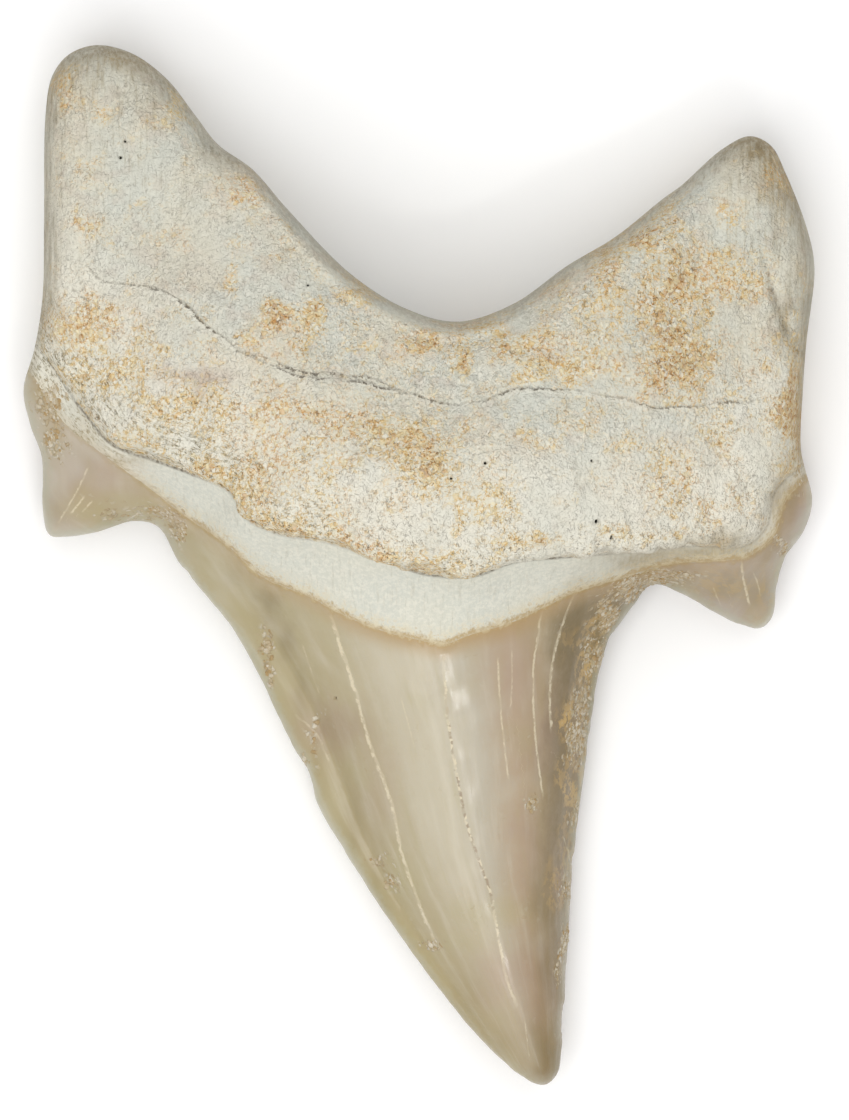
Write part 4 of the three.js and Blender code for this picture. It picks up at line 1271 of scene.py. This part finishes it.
def bone_marks(w, tone, streak, grit, bony):
    """Pinkish patches, fibres, flow lines beside the margin, dirt that is partly painted shade,
    and painted shade in the side fold.
    """
    w.coat(w.times(w.field("blush"), w.ease(tone, 0.3, 0.7, 0.7, 1.0), 0.8), "blush")
    w.coat(w.times(w.field("fibres"), w.ease(streak, 0.52, 0.68, 0.0, 0.4)), "speck")
    beside = w.node("CombineXYZ", {"X": w.times(w.field("past_ledge"), 2.2),
                                   "Y": w.times(w.field("along_ledge"), 26.0)}).outputs[0]
    flow = w.noise(beside, 1.1, 3.0, 0.75)
    lines = w.fade(w.absolute(w.minus(flow, 0.5)), 0.0, 0.06)
    lines = w.times(lines, w.field("flow"), w.ease(tone, 0.42, 0.54, 0.15, 1.0))
    w.coat(w.times(lines, bony, w.plus(grit, 0.2)), "speck")
    # Dirt on the lobes, and painted shade along the outer edges and under the ledge.
    w.coat(w.times(w.field("dirt"), w.ease(streak, 0.36, 0.6, 0.55, 1.0)), "dirt")
    # Painted shade in the crease of the side fold.
    w.coat(w.times(w.field("fold"), w.ease(tone, 0.35, 0.6, 0.2, 0.6)), "shadow")


def stained_grains(w, tint, rust):
    """Colours of stained grains by their random tint, deeper where there is rust."""
    return w.ramp(w.plus(tint, w.times(rust, 0.12)), [
        (0.0, "pale"), (0.2, "pale"), (0.34, "straw"), (0.48, "gold"), (0.6, "straw"),
        (0.76, "honey"), (0.9, "ochre"), (0.97, "rust")])


def bone_stain(w, place, grain, root, bony):
    """Iron stain, grain by grain, and the short dark marks that are thickest in it."""
    stainable = w.larger(root, w.times(w.field("neck_ends"), 0.35))
    density = w.times(w.field("ochre"), stainable)
    stain = w.group("iron stain", {"Place": place, "Grain": grain["Tone"], "Density": density})
    rust = w.ease(w.field("rust"), 0.1, 0.7)
    w.coat(w.times(stain["Halo"], 0.26), w.mix(rust, "straw", "honey"))
    picked = w.ease(w.plus(density, w.times(grain["Pick"], 0.9)), 1.0, 1.35)
    tint = w.times(grain["Tint"], w.ease(density, 0.3, 1.1, 0.6, 1.0))
    w.coat(w.times(picked, 0.54), stained_grains(w, tint, rust))
    w.coat(w.times(grain["Gaps"], picked, 0.3), "dirt")
    net = w.mix(w.ease(w.field("clouds"), -0.3, 0.4), "gold", "ochre")
    w.coat(w.times(stain["Net"], 0.6), net)
    w.coat(w.times(stain["Core"], w.plus(w.times(rust, 0.45), 0.5)), "rust")
    near_margin = w.ease(w.field("past_ledge"), 0.2, 2.2, 0.4, 0.0)
    thickness = w.plus(w.times(stain["Halo"], 0.55), near_margin, 0.18)
    calm = w.ease(w.field("calm"), 0.2, 0.9, 1.0, 0.2)
    w.coat(w.times(grain["Marks"], bony, calm, thickness), "shadow")


def bone_cracks(w, tone):
    """The painted shade line under the ledge, and the root's cracks with their lower lip made
    paler as a painted highlight.
    """
    # Painted shade: a thin dark line along the foot of the ledge.
    under = w.absolute(w.plus(w.field("past_ledge"), 0.02))
    w.coat(w.times(w.fade(under, 0.01, 0.13), w.field("ledge_dirt"),
                   w.ease(tone, 0.35, 0.6, 0.3, 0.9)), "shadow")
    distance, opening = w.field("crack"), w.field("crack_open")
    crack = w.group("fine crack", {
        "Distance": distance, "Strength": opening, "Grain": tone, "Width": 0.11,
        "Gap": w.field("crack_gap"), "Wander": 0.6, "Faintest": 0.25})
    # Painted highlight: the crack's lower lip made paler, as if it caught the light.
    lip = w.times(w.ease(distance, -0.5, -0.12), w.fade(distance, -0.12, 0.0))
    w.coat(w.times(lip, opening, 0.6), "pale")
    w.coat(w.times(crack["Between"], w.ease(tone, 0.5, 0.56), 0.5), "shadow")
    w.coat(w.times(crack["Line"], 0.95), "shadow")


def bone_edges(w, place, streak):
    """Crumbs above the enamel, handled outer edges darkened partly as painted shade, and painted
    shade in pinholes.
    """
    crust = w.group("border crust", {"Place": place, "Distance": w.field("past_border")})
    clean = w.plus(1.0, w.times(w.field("bare_border"), -0.7))
    w.coat(w.times(crust["Crumbs"], clean, 0.6), "crumb")
    w.coat(w.times(crust["Crust"], clean, 0.85), "crust")
    # Wear on the outer edges, and painted shade that darkens the walls seen edge-on at the
    # silhouette.
    wear = w.group("edge wear", {"Depth": w.field("edge_depth"), "Reach": 0.8, "Grain": streak})
    w.coat(w.times(wear["Worn"], w.ease(streak, 0.35, 0.65, 0.25, 0.5),
                   w.ease(w.field("ochre"), 0.4, 1.2, 1.0, 0.45)), "edge")
    w.coat(w.ease(w.field("pinhole"), 0.25, 0.8), ROOT_HOLE_SHADE)


def root_bone(colours):
    """Chalky root bone with iron stain, cracks and pinholes, and the smoother neck below it."""
    w = Finish("root_bone", colours)
    place = w.millimetres()
    grain = w.group("bone grain", {"Place": place, "Marks": 1.0})
    tone = grain["Tone"]
    root = w.ease(w.field("past_ledge"), -0.12, 0.12)
    bony = w.larger(root, w.field("neck_ends"))
    grit = w.minus(1.0, w.times(w.field("calm"), 0.75))
    streak = w.noise(w.stretched(place, (2.6, 0.24, 0.5)), 1.7, 3.0, 0.75)
    chalk(w, place, grain, grit)
    neck_and_lit_bulge(w, tone, streak, grit, bony)
    bone_marks(w, tone, streak, grit, bony)
    bone_stain(w, place, grain, root, bony)
    bone_cracks(w, tone)
    bone_edges(w, place, streak)
    w.surface({"Roughness": w.ease(tone, 0.3, 0.7, 0.74, 0.92), "Specular IOR Level": 0.22})
    rough = w.plus(w.times(root, w.ease(w.field("calm"), 0.2, 0.9, 0.85, 0.4)), 0.15)
    w.bump(w.times(grain["Height"], rough), 1.0, 0.15)
    return w.material


# ---- Crown enamel ----------------------------------------------------------------------------

# Painted shade: the dark inside a pinhole of the enamel.
CROWN_HOLE_SHADE = (0.1, 0.08, 0.07)


def crown_bands(w, fine):
    """Bands down the crown that run together to the point, and the cusplets' plainer tone."""
    across = w.plus(w.field("across"), w.times(w.field("clouds"), 0.07),
                    w.times(w.minus(fine, 0.5), 0.15))
    start, end = -1.6, 1.3
    stops = [(start, "wing"), (-1.0, "furrow"), (-0.75, "furrow"), (-0.42, "enamel"),
             (-0.15, "enamel"), (0.15, "grey_enamel"), (0.45, "rose"), (0.66, "tan"),
             (0.86, "flank"), (end, "flank")]
    bands = w.ramp(w.even(across, start, end),
                   [((place - start) / (end - start), name) for place, name in stops])
    cusplet = w.mix(w.ease(w.field("clouds"), -0.5, 0.5, 0.0, 0.75), "cusplet", "tan")
    w.colour = w.mix(w.field("cusplet"), bands, cusplet)


def crown_clouds(w, streak, toward_point):
    """Dull and pale clouds and streaks, and the darker zones of the enamel, with painted shade in
    the furrow on the left among them.
    """
    clouds = w.field("clouds")
    w.coat(w.times(toward_point, 0.45), "tip")
    left = w.ease(w.field("across"), -1.0, -0.2, 0.3, 0.0)
    w.coat(w.plus(w.ease(clouds, 0.0, 0.9, 0.0, 0.35), left), "olive")
    w.coat(w.ease(clouds, -0.9, -0.1, 0.25, 0.0), "pale_streak")
    w.coat(w.ease(streak, 0.5, 0.72, 0.0, 0.22), "pale_streak")
    w.coat(w.ease(streak, 0.28, 0.46, 0.22, 0.0), "olive")
    w.coat(w.times(w.field("blush"), 0.75), "blush")
    # Darker zones of the enamel; in the furrow on the left this is painted shade.
    w.coat(w.field("shade"), "flank")


def clinging_matrix(w, place, fine, moss, clean):
    """Thin sandy matrix where crumbs cling: its stain, its picked grains and their gaps."""
    density = w.plus(w.times(w.field("crumbs"), 1.1), w.times(w.field("clouds"), 0.1))
    stain = w.group("iron stain", {"Place": place, "Density": density, "Grain": fine})
    w.coat(w.times(stain["Halo"], clean, 0.35), "matrix")
    grain = w.group("bone grain", {"Place": place, "Marks": 0.0})
    picked = w.ease(w.plus(density, w.times(grain["Pick"], 0.9)), 0.85, 1.15)
    sandy = w.mix(w.ease(grain["Tint"], 0.4, 0.6), "quartz", "matrix_pale")
    sandy = w.mix(w.times(w.ease(grain["Tint"], 0.7, 0.9), clean), sandy, "matrix")
    w.coat(w.times(picked, 0.9), sandy)
    w.coat(w.times(moss, 0.5), "moss")
    w.coat(w.times(grain["Gaps"], picked, 0.45), "flank")
    w.coat(w.times(stain["Net"], 0.4), "matrix_pale")
    return stain["Net"], w.times(picked, w.minus(1.2, grain["Gaps"]))


def crown_hairlines(w, place, fine):
    """Hairlines filled with cream, one of them with dashes of dark dirt, and painted highlight
    streaks on the cusplets in the same cream.
    """
    line = w.group("fine crack", {
        "Distance": w.field("hairline"), "Strength": w.field("hairline_strength"),
        "Width": 1.35, "Gap": 0.0, "Wander": 3.4, "Grain": fine, "Faintest": 0.38})["Line"]
    dash = w.times(w.field("dashes"), w.ease(w.noise(place, 2.3, 1.0), 0.47, 0.53))
    # The same cream paints the highlight streaks on the cusplets.
    w.coat(w.times(line, 0.85), w.mix(dash, "hairline", "dash"))
    return line


def crown_border(w, place, clean, bone):
    """The shade and the crumbs along the enamel's upper border, and painted shade in pinholes."""
    crust = w.group("border crust", {"Place": place, "Distance": w.field("past_border")})
    off_centre = w.absolute(w.plus(w.field("across"), -0.25))
    near_middle = w.ease(off_centre, 0.35, 1.3, 0.8, 0.4)
    w.coat(w.times(crust["Shade"], near_middle, clean), "border_shade")
    w.coat(w.times(crust["Crumbs"], clean, 0.5), tuple(bone.crumb))
    w.coat(w.times(crust["Crust"], clean, 0.8), tuple(bone.crust))
    w.coat(w.ease(w.field("pinhole"), 0.25, 0.8), CROWN_HOLE_SHADE)
    return crust["Crust"]


def crown_gloss(w, fine, streak, net, line, crust):
    """How glossy the enamel is, and duller where anything covers it."""
    dull = w.plus(w.times(net, 0.35), w.times(crust, 0.5), w.times(line, 0.2),
                  w.ease(fine, 0.35, 0.65, 0.38, 0.5))
    covered = w.plus(w.times(crust, 0.6), w.times(net, 0.5))
    shiny = w.ease(streak, 0.42, 0.56, 0.1, 0.36)
    w.surface({
        "Roughness": w.math("MINIMUM", dull, 0.9),
        "Coat Weight": w.math("SUBTRACT", shiny, covered, clamp=True),
        "Coat Roughness": 0.11,
        "Specular IOR Level": 0.2,
        "Subsurface Weight": 0.1,
        "Subsurface Radius": (1.0, 0.7, 0.4),
        "Subsurface Scale": 1.2 * MM,
    })


def crown_enamel(colours, bone):
    """Glossy, slightly clouded enamel with bands, hairlines, worn edges and clinging matrix."""
    w = Finish("crown_enamel", colours)
    place = w.millimetres()
    fine = w.noise(place, 1.6, 3.0, 0.65)
    up_crown = w.node("SeparateXYZ", {"Vector": place}).outputs["Y"]
    toward_point = w.fade(up_crown, -31.0, -14.0)
    lengthwise = w.node("CombineXYZ", {"X": w.times(w.field("across"), 7.0),
                                       "Y": w.times(up_crown, 0.12)}).outputs[0]
    streak = w.noise(lengthwise, 1.3, 3.0, 0.6)
    clean = w.plus(1.0, w.times(w.field("bare_border"), -0.6))
    crown_bands(w, fine)
    crown_clouds(w, streak, toward_point)
    moss = w.times(w.field("rust"), w.ease(w.noise(place, 1.2, 3.0, 0.75), 0.46, 0.56, 0.05, 0.9))
    w.coat(moss, "moss")
    wear = w.group("edge wear", {"Depth": w.field("edge_depth"), "Reach": 0.65, "Grain": fine})
    w.coat(w.times(wear["Worn"], w.plus(0.55, w.times(toward_point, -0.35))), "thin_edge")
    net, grains = clinging_matrix(w, place, fine, moss, clean)
    line = crown_hairlines(w, place, fine)
    crust = crown_border(w, place, clean, bone)
    crown_gloss(w, fine, streak, net, line, crust)
    w.bump(w.plus(w.times(streak, 0.5), w.times(fine, 0.25), grains), 0.6, 0.07)
    return w.material


# ---- Grains and floor ------------------------------------------------------------------------


def matrix_grain(colours):
    """Sandy grains, from milky quartz to ochre."""
    w = Finish("matrix_grain", colours, "quartz")
    grain = w.group("bone grain", {"Place": w.millimetres(), "Marks": 0.4})
    tint = w.field("tint")
    w.coat(w.ease(tint, 0.1, 0.5), "matrix_pale")
    w.coat(w.ease(tint, 0.64, 0.8), "matrix")
    w.coat(w.ease(tint, 0.88, 0.96), "furrow")
    w.coat(w.ease(grain["Tone"], 0.4, 0.65, 0.0, 0.4), "matrix")
    w.surface({"Roughness": w.ease(grain["Tone"], 0.3, 0.7, 0.25, 0.7)})
    w.bump(grain["Height"], 0.5, 0.04)
    return w.material


def plain_floor(settings):
    """Matt pale paper with the faintest unevenness."""
    w = Finish("pale_floor", settings, "floor")
    cloud = w.noise(w.node("TexCoord").outputs["Object"], 6.0, 2.0)
    w.surface({"Roughness": w.ease(cloud, 0.3, 0.7, 0.85, 0.95), "Specular IOR Level": 0.1})
    return w.material


# ---- Stage -----------------------------------------------------------------------------------

FLOOR_HALF_WIDTH = 1.5
FLOOR_DROP = 0.02 * MM  # gap under the tooth
EDGES_ABOVE_FLOOR = 4.0 * MM  # height at which the picture is as high as the view setting says
SENSOR_WIDTH = 36

# Softboxes: direction from the tooth, distance, width and height, setting of the power.
SOFT_LIGHTS = {
    "key_light": ((-0.15, -0.36, 1.0), 0.7, (0.6, 0.6), "key_power"),
    "fill_light": ((0.1, 0.55, 1.0), 0.7, (0.7, 0.5), "fill_power"),
    "gleam_light": ((0.146, -0.422, 0.895), 0.6, (0.12, 0.025), "gleam_power"),
}


def soft_light(name, target, direction, distance, size, power):
    """A rectangular softbox that faces the tooth."""
    light = bpy.data.lights.new(name, "AREA")
    light.shape = "RECTANGLE"
    light.size, light.size_y = size
    light.energy = power
    piece = bpy.data.objects.new(name, light)
    piece.location = target + Vector(direction).normalized() * distance
    piece.rotation_euler = (target - piece.location).to_track_quat("-Z", "Y").to_euler()
    bpy.context.scene.collection.objects.link(piece)


def build_floor(settings):
    """A large pale sheet under the tooth."""
    half = FLOOR_HALF_WIDTH
    corners = [(-half, -half, 0), (half, -half, 0), (half, half, 0), (-half, half, 0)]
    mesh = bpy.data.meshes.new("floor")
    mesh.from_pydata(corners, [], [(0, 1, 2, 3)])
    mesh.materials.append(plain_floor(settings))
    floor = bpy.data.objects.new("floor", mesh)
    floor.location.z = CAD_LOW.z - FLOOR_DROP
    bpy.context.scene.collection.objects.link(floor)


def build_camera(settings):
    """A long lens straight above the tooth, with the root lobes at the top of the picture."""
    middle = (CAD_LOW + CAD_HIGH) / 2
    camera = bpy.data.cameras.new("camera")
    camera.sensor_width = SENSOR_WIDTH
    camera.lens = SENSOR_WIDTH * settings.camera_height / settings.view_height
    piece = bpy.data.objects.new("camera", camera)
    piece.location = (middle.x + settings.aim[0], middle.y + settings.aim[1],
                      EDGES_ABOVE_FLOOR + settings.camera_height)
    bpy.context.scene.collection.objects.link(piece)
    bpy.context.scene.camera = piece


def build_lights(settings):
    """A main light from beyond the point, a softer one from beyond the root, a small one that
    the crown reflects, and a pale sky."""
    target = (CAD_LOW + CAD_HIGH) / 2
    for name, (direction, distance, size, power) in SOFT_LIGHTS.items():
        soft_light(name, target, direction, distance, size, getattr(settings, power))
    world = bpy.data.worlds.new("pale_room")
    world.use_nodes = True
    background = world.node_tree.nodes["Background"]
    background.inputs["Color"].default_value = (1.0, 1.0, 1.0, 1.0)
    background.inputs["Strength"].default_value = settings.sky
    bpy.context.scene.world = world
    bpy.context.scene.view_settings.view_transform = "Standard"


# ---- Properties ------------------------------------------------------------------------------


def colour_property(name, description, red, green, blue):
    return FloatVectorProperty(name=name, description=description, subtype="COLOR", size=3,
                               min=0, max=1, default=(red, green, blue))


def length_property(name, description, millimetres):
    return FloatProperty(name=name, description=description, default=millimetres * MM, min=0,
                         subtype="DISTANCE", unit="LENGTH", precision=5)


class ToothSizes(bpy.types.PropertyGroup):
    spacing: length_property("Detail", "Spacing of the points on the inner face", 0.165)
    ledge_step: length_property("Ledge step", "Width of the step up to the root", 0.62)
    overhang: length_property("Overhang", "How far the root's margin stands over the neck", 0.42)
    edge_wear: length_property("Edge wear", "Depth of the nicks in the cutting edges", 0.12)
    relief: FloatProperty(name="Relief", description="Strength of lumps, pores and grooves",
                          default=1.0, min=0, max=2)


class GrainSizes(bpy.types.PropertyGroup):
    count: IntProperty(name="Grains", description="Number of clinging grains", default=2000,
                       min=1, max=2400)
    smallest: length_property("Smallest", "Radius of the smallest grain", 0.04)
    largest: length_property("Largest", "Radius of the largest grain", 0.21)
    seed: IntProperty(name="Seed", description="Picks another scatter of grains", default=7)


class BoneColours(bpy.types.PropertyGroup):
    chalk: colour_property("Chalk", "Cool white of the root", 0.575, 0.585, 0.52)
    cream: colour_property("Cream", "Warmer clouds of the root", 0.635, 0.595, 0.48)
    # Also painted light: the bulge just above the ledge, and the cracks' lower lips.
    pale: colour_property("Pale flecks", "Palest flecks of the root", 0.78, 0.75, 0.645)
    neck: colour_property("Neck", "Smooth band under the ledge", 0.604, 0.598, 0.512)
    straw: colour_property("Straw", "Soft halo of the iron stain", 0.78, 0.67, 0.4)
    gold: colour_property("Gold", "Golden part of the iron stain", 0.7, 0.45, 0.13)
    honey: colour_property("Honey", "Halo of the strongest stain", 0.7, 0.52, 0.27)
    ochre: colour_property("Ochre", "Fine net of the iron stain", 0.62, 0.32, 0.08)
    rust: colour_property("Rust", "Core of that net", 0.38, 0.165, 0.038)
    blush: colour_property("Blush", "Pinkish patches", 0.464, 0.344, 0.272)
    # Also painted shade on the neck under the ledge and along the outer edges.
    dirt: colour_property("Dirt", "Brown dirt on the lobes", 0.29, 0.215, 0.105)
    speck: colour_property("Specks", "Grey pores and streaks", 0.304, 0.272, 0.184)
    # Also painted shade: the line along the foot of the ledge and the crease of the side fold.
    shadow: colour_property("Cracks", "Dirt in cracks", 0.192, 0.168, 0.128)
    crust: colour_property("Crust", "Crumbly border of the enamel", 0.416, 0.296, 0.136)
    crumb: colour_property("Crumbs", "Pale crumbs of that border", 0.64, 0.544, 0.344)
    # Also painted shade on the outer walls at the silhouette.
    edge: colour_property("Edges", "Handled outer edges", 0.26, 0.225, 0.155)


class EnamelColours(bpy.types.PropertyGroup):
    enamel: colour_property("Enamel", "Pale middle of the crown", 0.49, 0.44, 0.33)
    grey_enamel: colour_property("Grey enamel", "Cooler band beside it", 0.438, 0.394, 0.308)
    tan: colour_property("Tan", "Between the middle and the flanks", 0.392, 0.312, 0.184)
    rose: colour_property("Rose", "Warm band on the right", 0.424, 0.328, 0.224)
    furrow: colour_property("Furrow", "Furrow on the left", 0.4, 0.335, 0.207)
    # Also painted shade in the furrow on the left, laid on by the shade patches.
    flank: colour_property("Flank", "Right flank", 0.19, 0.138, 0.06)
    wing: colour_property("Wings", "Thin wings beside the body", 0.384, 0.336, 0.208)
    thin_edge: colour_property("Thin edge", "Translucent cutting edges", 0.416, 0.408, 0.304)
    cusplet: colour_property("Cusplets", "Enamel of the side cusplets", 0.456, 0.39, 0.335)
    tip: colour_property("Point", "Enamel near the point", 0.32, 0.228, 0.112)
    olive: colour_property("Olive", "Dull clouds", 0.384, 0.336, 0.176)
    pale_streak: colour_property("Pale streaks", "Pale lengthwise streaks", 0.576, 0.528, 0.424)
    blush: colour_property("Blush", "Pinkish clouds", 0.36, 0.232, 0.192)
    # Also the colour of the painted highlight streaks on the cusplets.
    hairline: colour_property("Hairlines", "Fine cracks filled with cream", 0.672, 0.592, 0.424)
    dash: colour_property("Dashes", "Dark dirt in the hairlines", 0.25, 0.18, 0.12)
    border_shade: colour_property("Shade", "Band below the border", 0.4, 0.272, 0.128)
    moss: colour_property("Flank stain", "Ochre stain down the right flank", 0.52, 0.34, 0.115)
    matrix: colour_property("Matrix", "Ochre rock that clings", 0.36, 0.24, 0.1)
    matrix_pale: colour_property("Pale matrix", "Sandy grains", 0.44, 0.36, 0.23)
    quartz: colour_property("Quartz", "Milky grains", 0.57, 0.52, 0.41)


class StageSettings(bpy.types.PropertyGroup):
    floor: colour_property("Floor", "Pale sheet under the tooth", 0.96, 0.96, 0.96)
    key_power: FloatProperty(name="Key light", description="Power", default=3.0, unit="POWER")
    fill_power: FloatProperty(name="Fill light", description="Power", default=1.12, unit="POWER")
    gleam_power: FloatProperty(name="Gleam", description="Power of the small light that the "
                               "crown reflects", default=0.2, unit="POWER")
    sky: FloatProperty(name="Sky", description="Brightness of the room", default=0.55, min=0)
    camera_height: FloatProperty(name="Camera height", description="Above the cutting edges",
                                 default=1.5, unit="LENGTH")
    view_height: FloatProperty(name="View", description="Height of the picture at the edges",
                               default=0.070, unit="LENGTH")
    aim: FloatVectorProperty(name="Aim", description="Camera's offset from the tooth's middle",
                             size=2, default=(0.00035, 0.00033), unit="LENGTH")


# ---- Operators, panel and registration -------------------------------------------------------


class TOOTH_OT_body(bpy.types.Operator):
    """Build the detailed tooth in place of the CAD tooth"""

    bl_idname = "fossil_tooth.body"
    bl_label = "Tooth"

    def execute(self, context):
        scene = context.scene
        build_groups()
        materials = [root_bone(scene.bone_colours),
                     crown_enamel(scene.enamel_colours, scene.bone_colours)]
        tooth = build_tooth(scene.tooth_sizes, materials)
        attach(tooth, "root")
        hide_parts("tooth")
        return {"FINISHED"}


class TOOTH_OT_grains(bpy.types.Operator):
    """Scatter grains of rock over the tooth where they still cling"""

    bl_idname = "fossil_tooth.grains"
    bl_label = "Matrix grains"

    def execute(self, context):
        scene = context.scene
        tooth = bpy.data.objects["tooth_body"]
        build_groups()
        grains = build_grains(tooth, scene.grain_sizes, matrix_grain(scene.enamel_colours))
        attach(grains, "root")
        return {"FINISHED"}


class TOOTH_OT_stage(bpy.types.Operator):
    """Set up the floor, the soft lights and the camera"""

    bl_idname = "fossil_tooth.stage"
    bl_label = "Stage"

    def execute(self, context):
        settings = context.scene.stage_settings
        build_floor(settings)
        build_lights(settings)
        build_camera(settings)
        return {"FINISHED"}


class TOOTH_PT_panel(bpy.types.Panel):
    """Lists the pieces and their settings"""

    bl_idname = "TOOTH_PT_panel"
    bl_label = "Fossil tooth"
    bl_space_type = "VIEW_3D"
    bl_region_type = "UI"
    bl_category = "Fossil tooth"

    def draw(self, context):
        scene = context.scene
        for operator, groups in (
            (TOOTH_OT_body, (scene.tooth_sizes, scene.bone_colours, scene.enamel_colours)),
            (TOOTH_OT_grains, (scene.grain_sizes,)),
            (TOOTH_OT_stage, (scene.stage_settings,)),
        ):
            box = self.layout.box()
            box.operator(operator.bl_idname)
            for group in groups:
                for name in group.bl_rna.properties.keys():
                    if name not in ("name", "rna_type"):
                        box.prop(group, name)


CLASSES = (ToothSizes, GrainSizes, BoneColours, EnamelColours, StageSettings,
           TOOTH_OT_body, TOOTH_OT_grains, TOOTH_OT_stage, TOOTH_PT_panel)
SETTINGS = {"tooth_sizes": ToothSizes, "grain_sizes": GrainSizes, "bone_colours": BoneColours,
            "enamel_colours": EnamelColours, "stage_settings": StageSettings}


def register():
    for cls in CLASSES:
        bpy.utils.register_class(cls)
    for name, cls in SETTINGS.items():
        setattr(bpy.types.Scene, name, PointerProperty(type=cls))


def unregister():
    for name in SETTINGS:
        delattr(bpy.types.Scene, name)
    for cls in reversed(CLASSES):
        bpy.utils.unregister_class(cls)


def main():
    register()
    bpy.ops.fossil_tooth.body()
    bpy.ops.fossil_tooth.grains()
    bpy.ops.fossil_tooth.stage()
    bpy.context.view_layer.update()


if __name__ == "__main__":
    main()
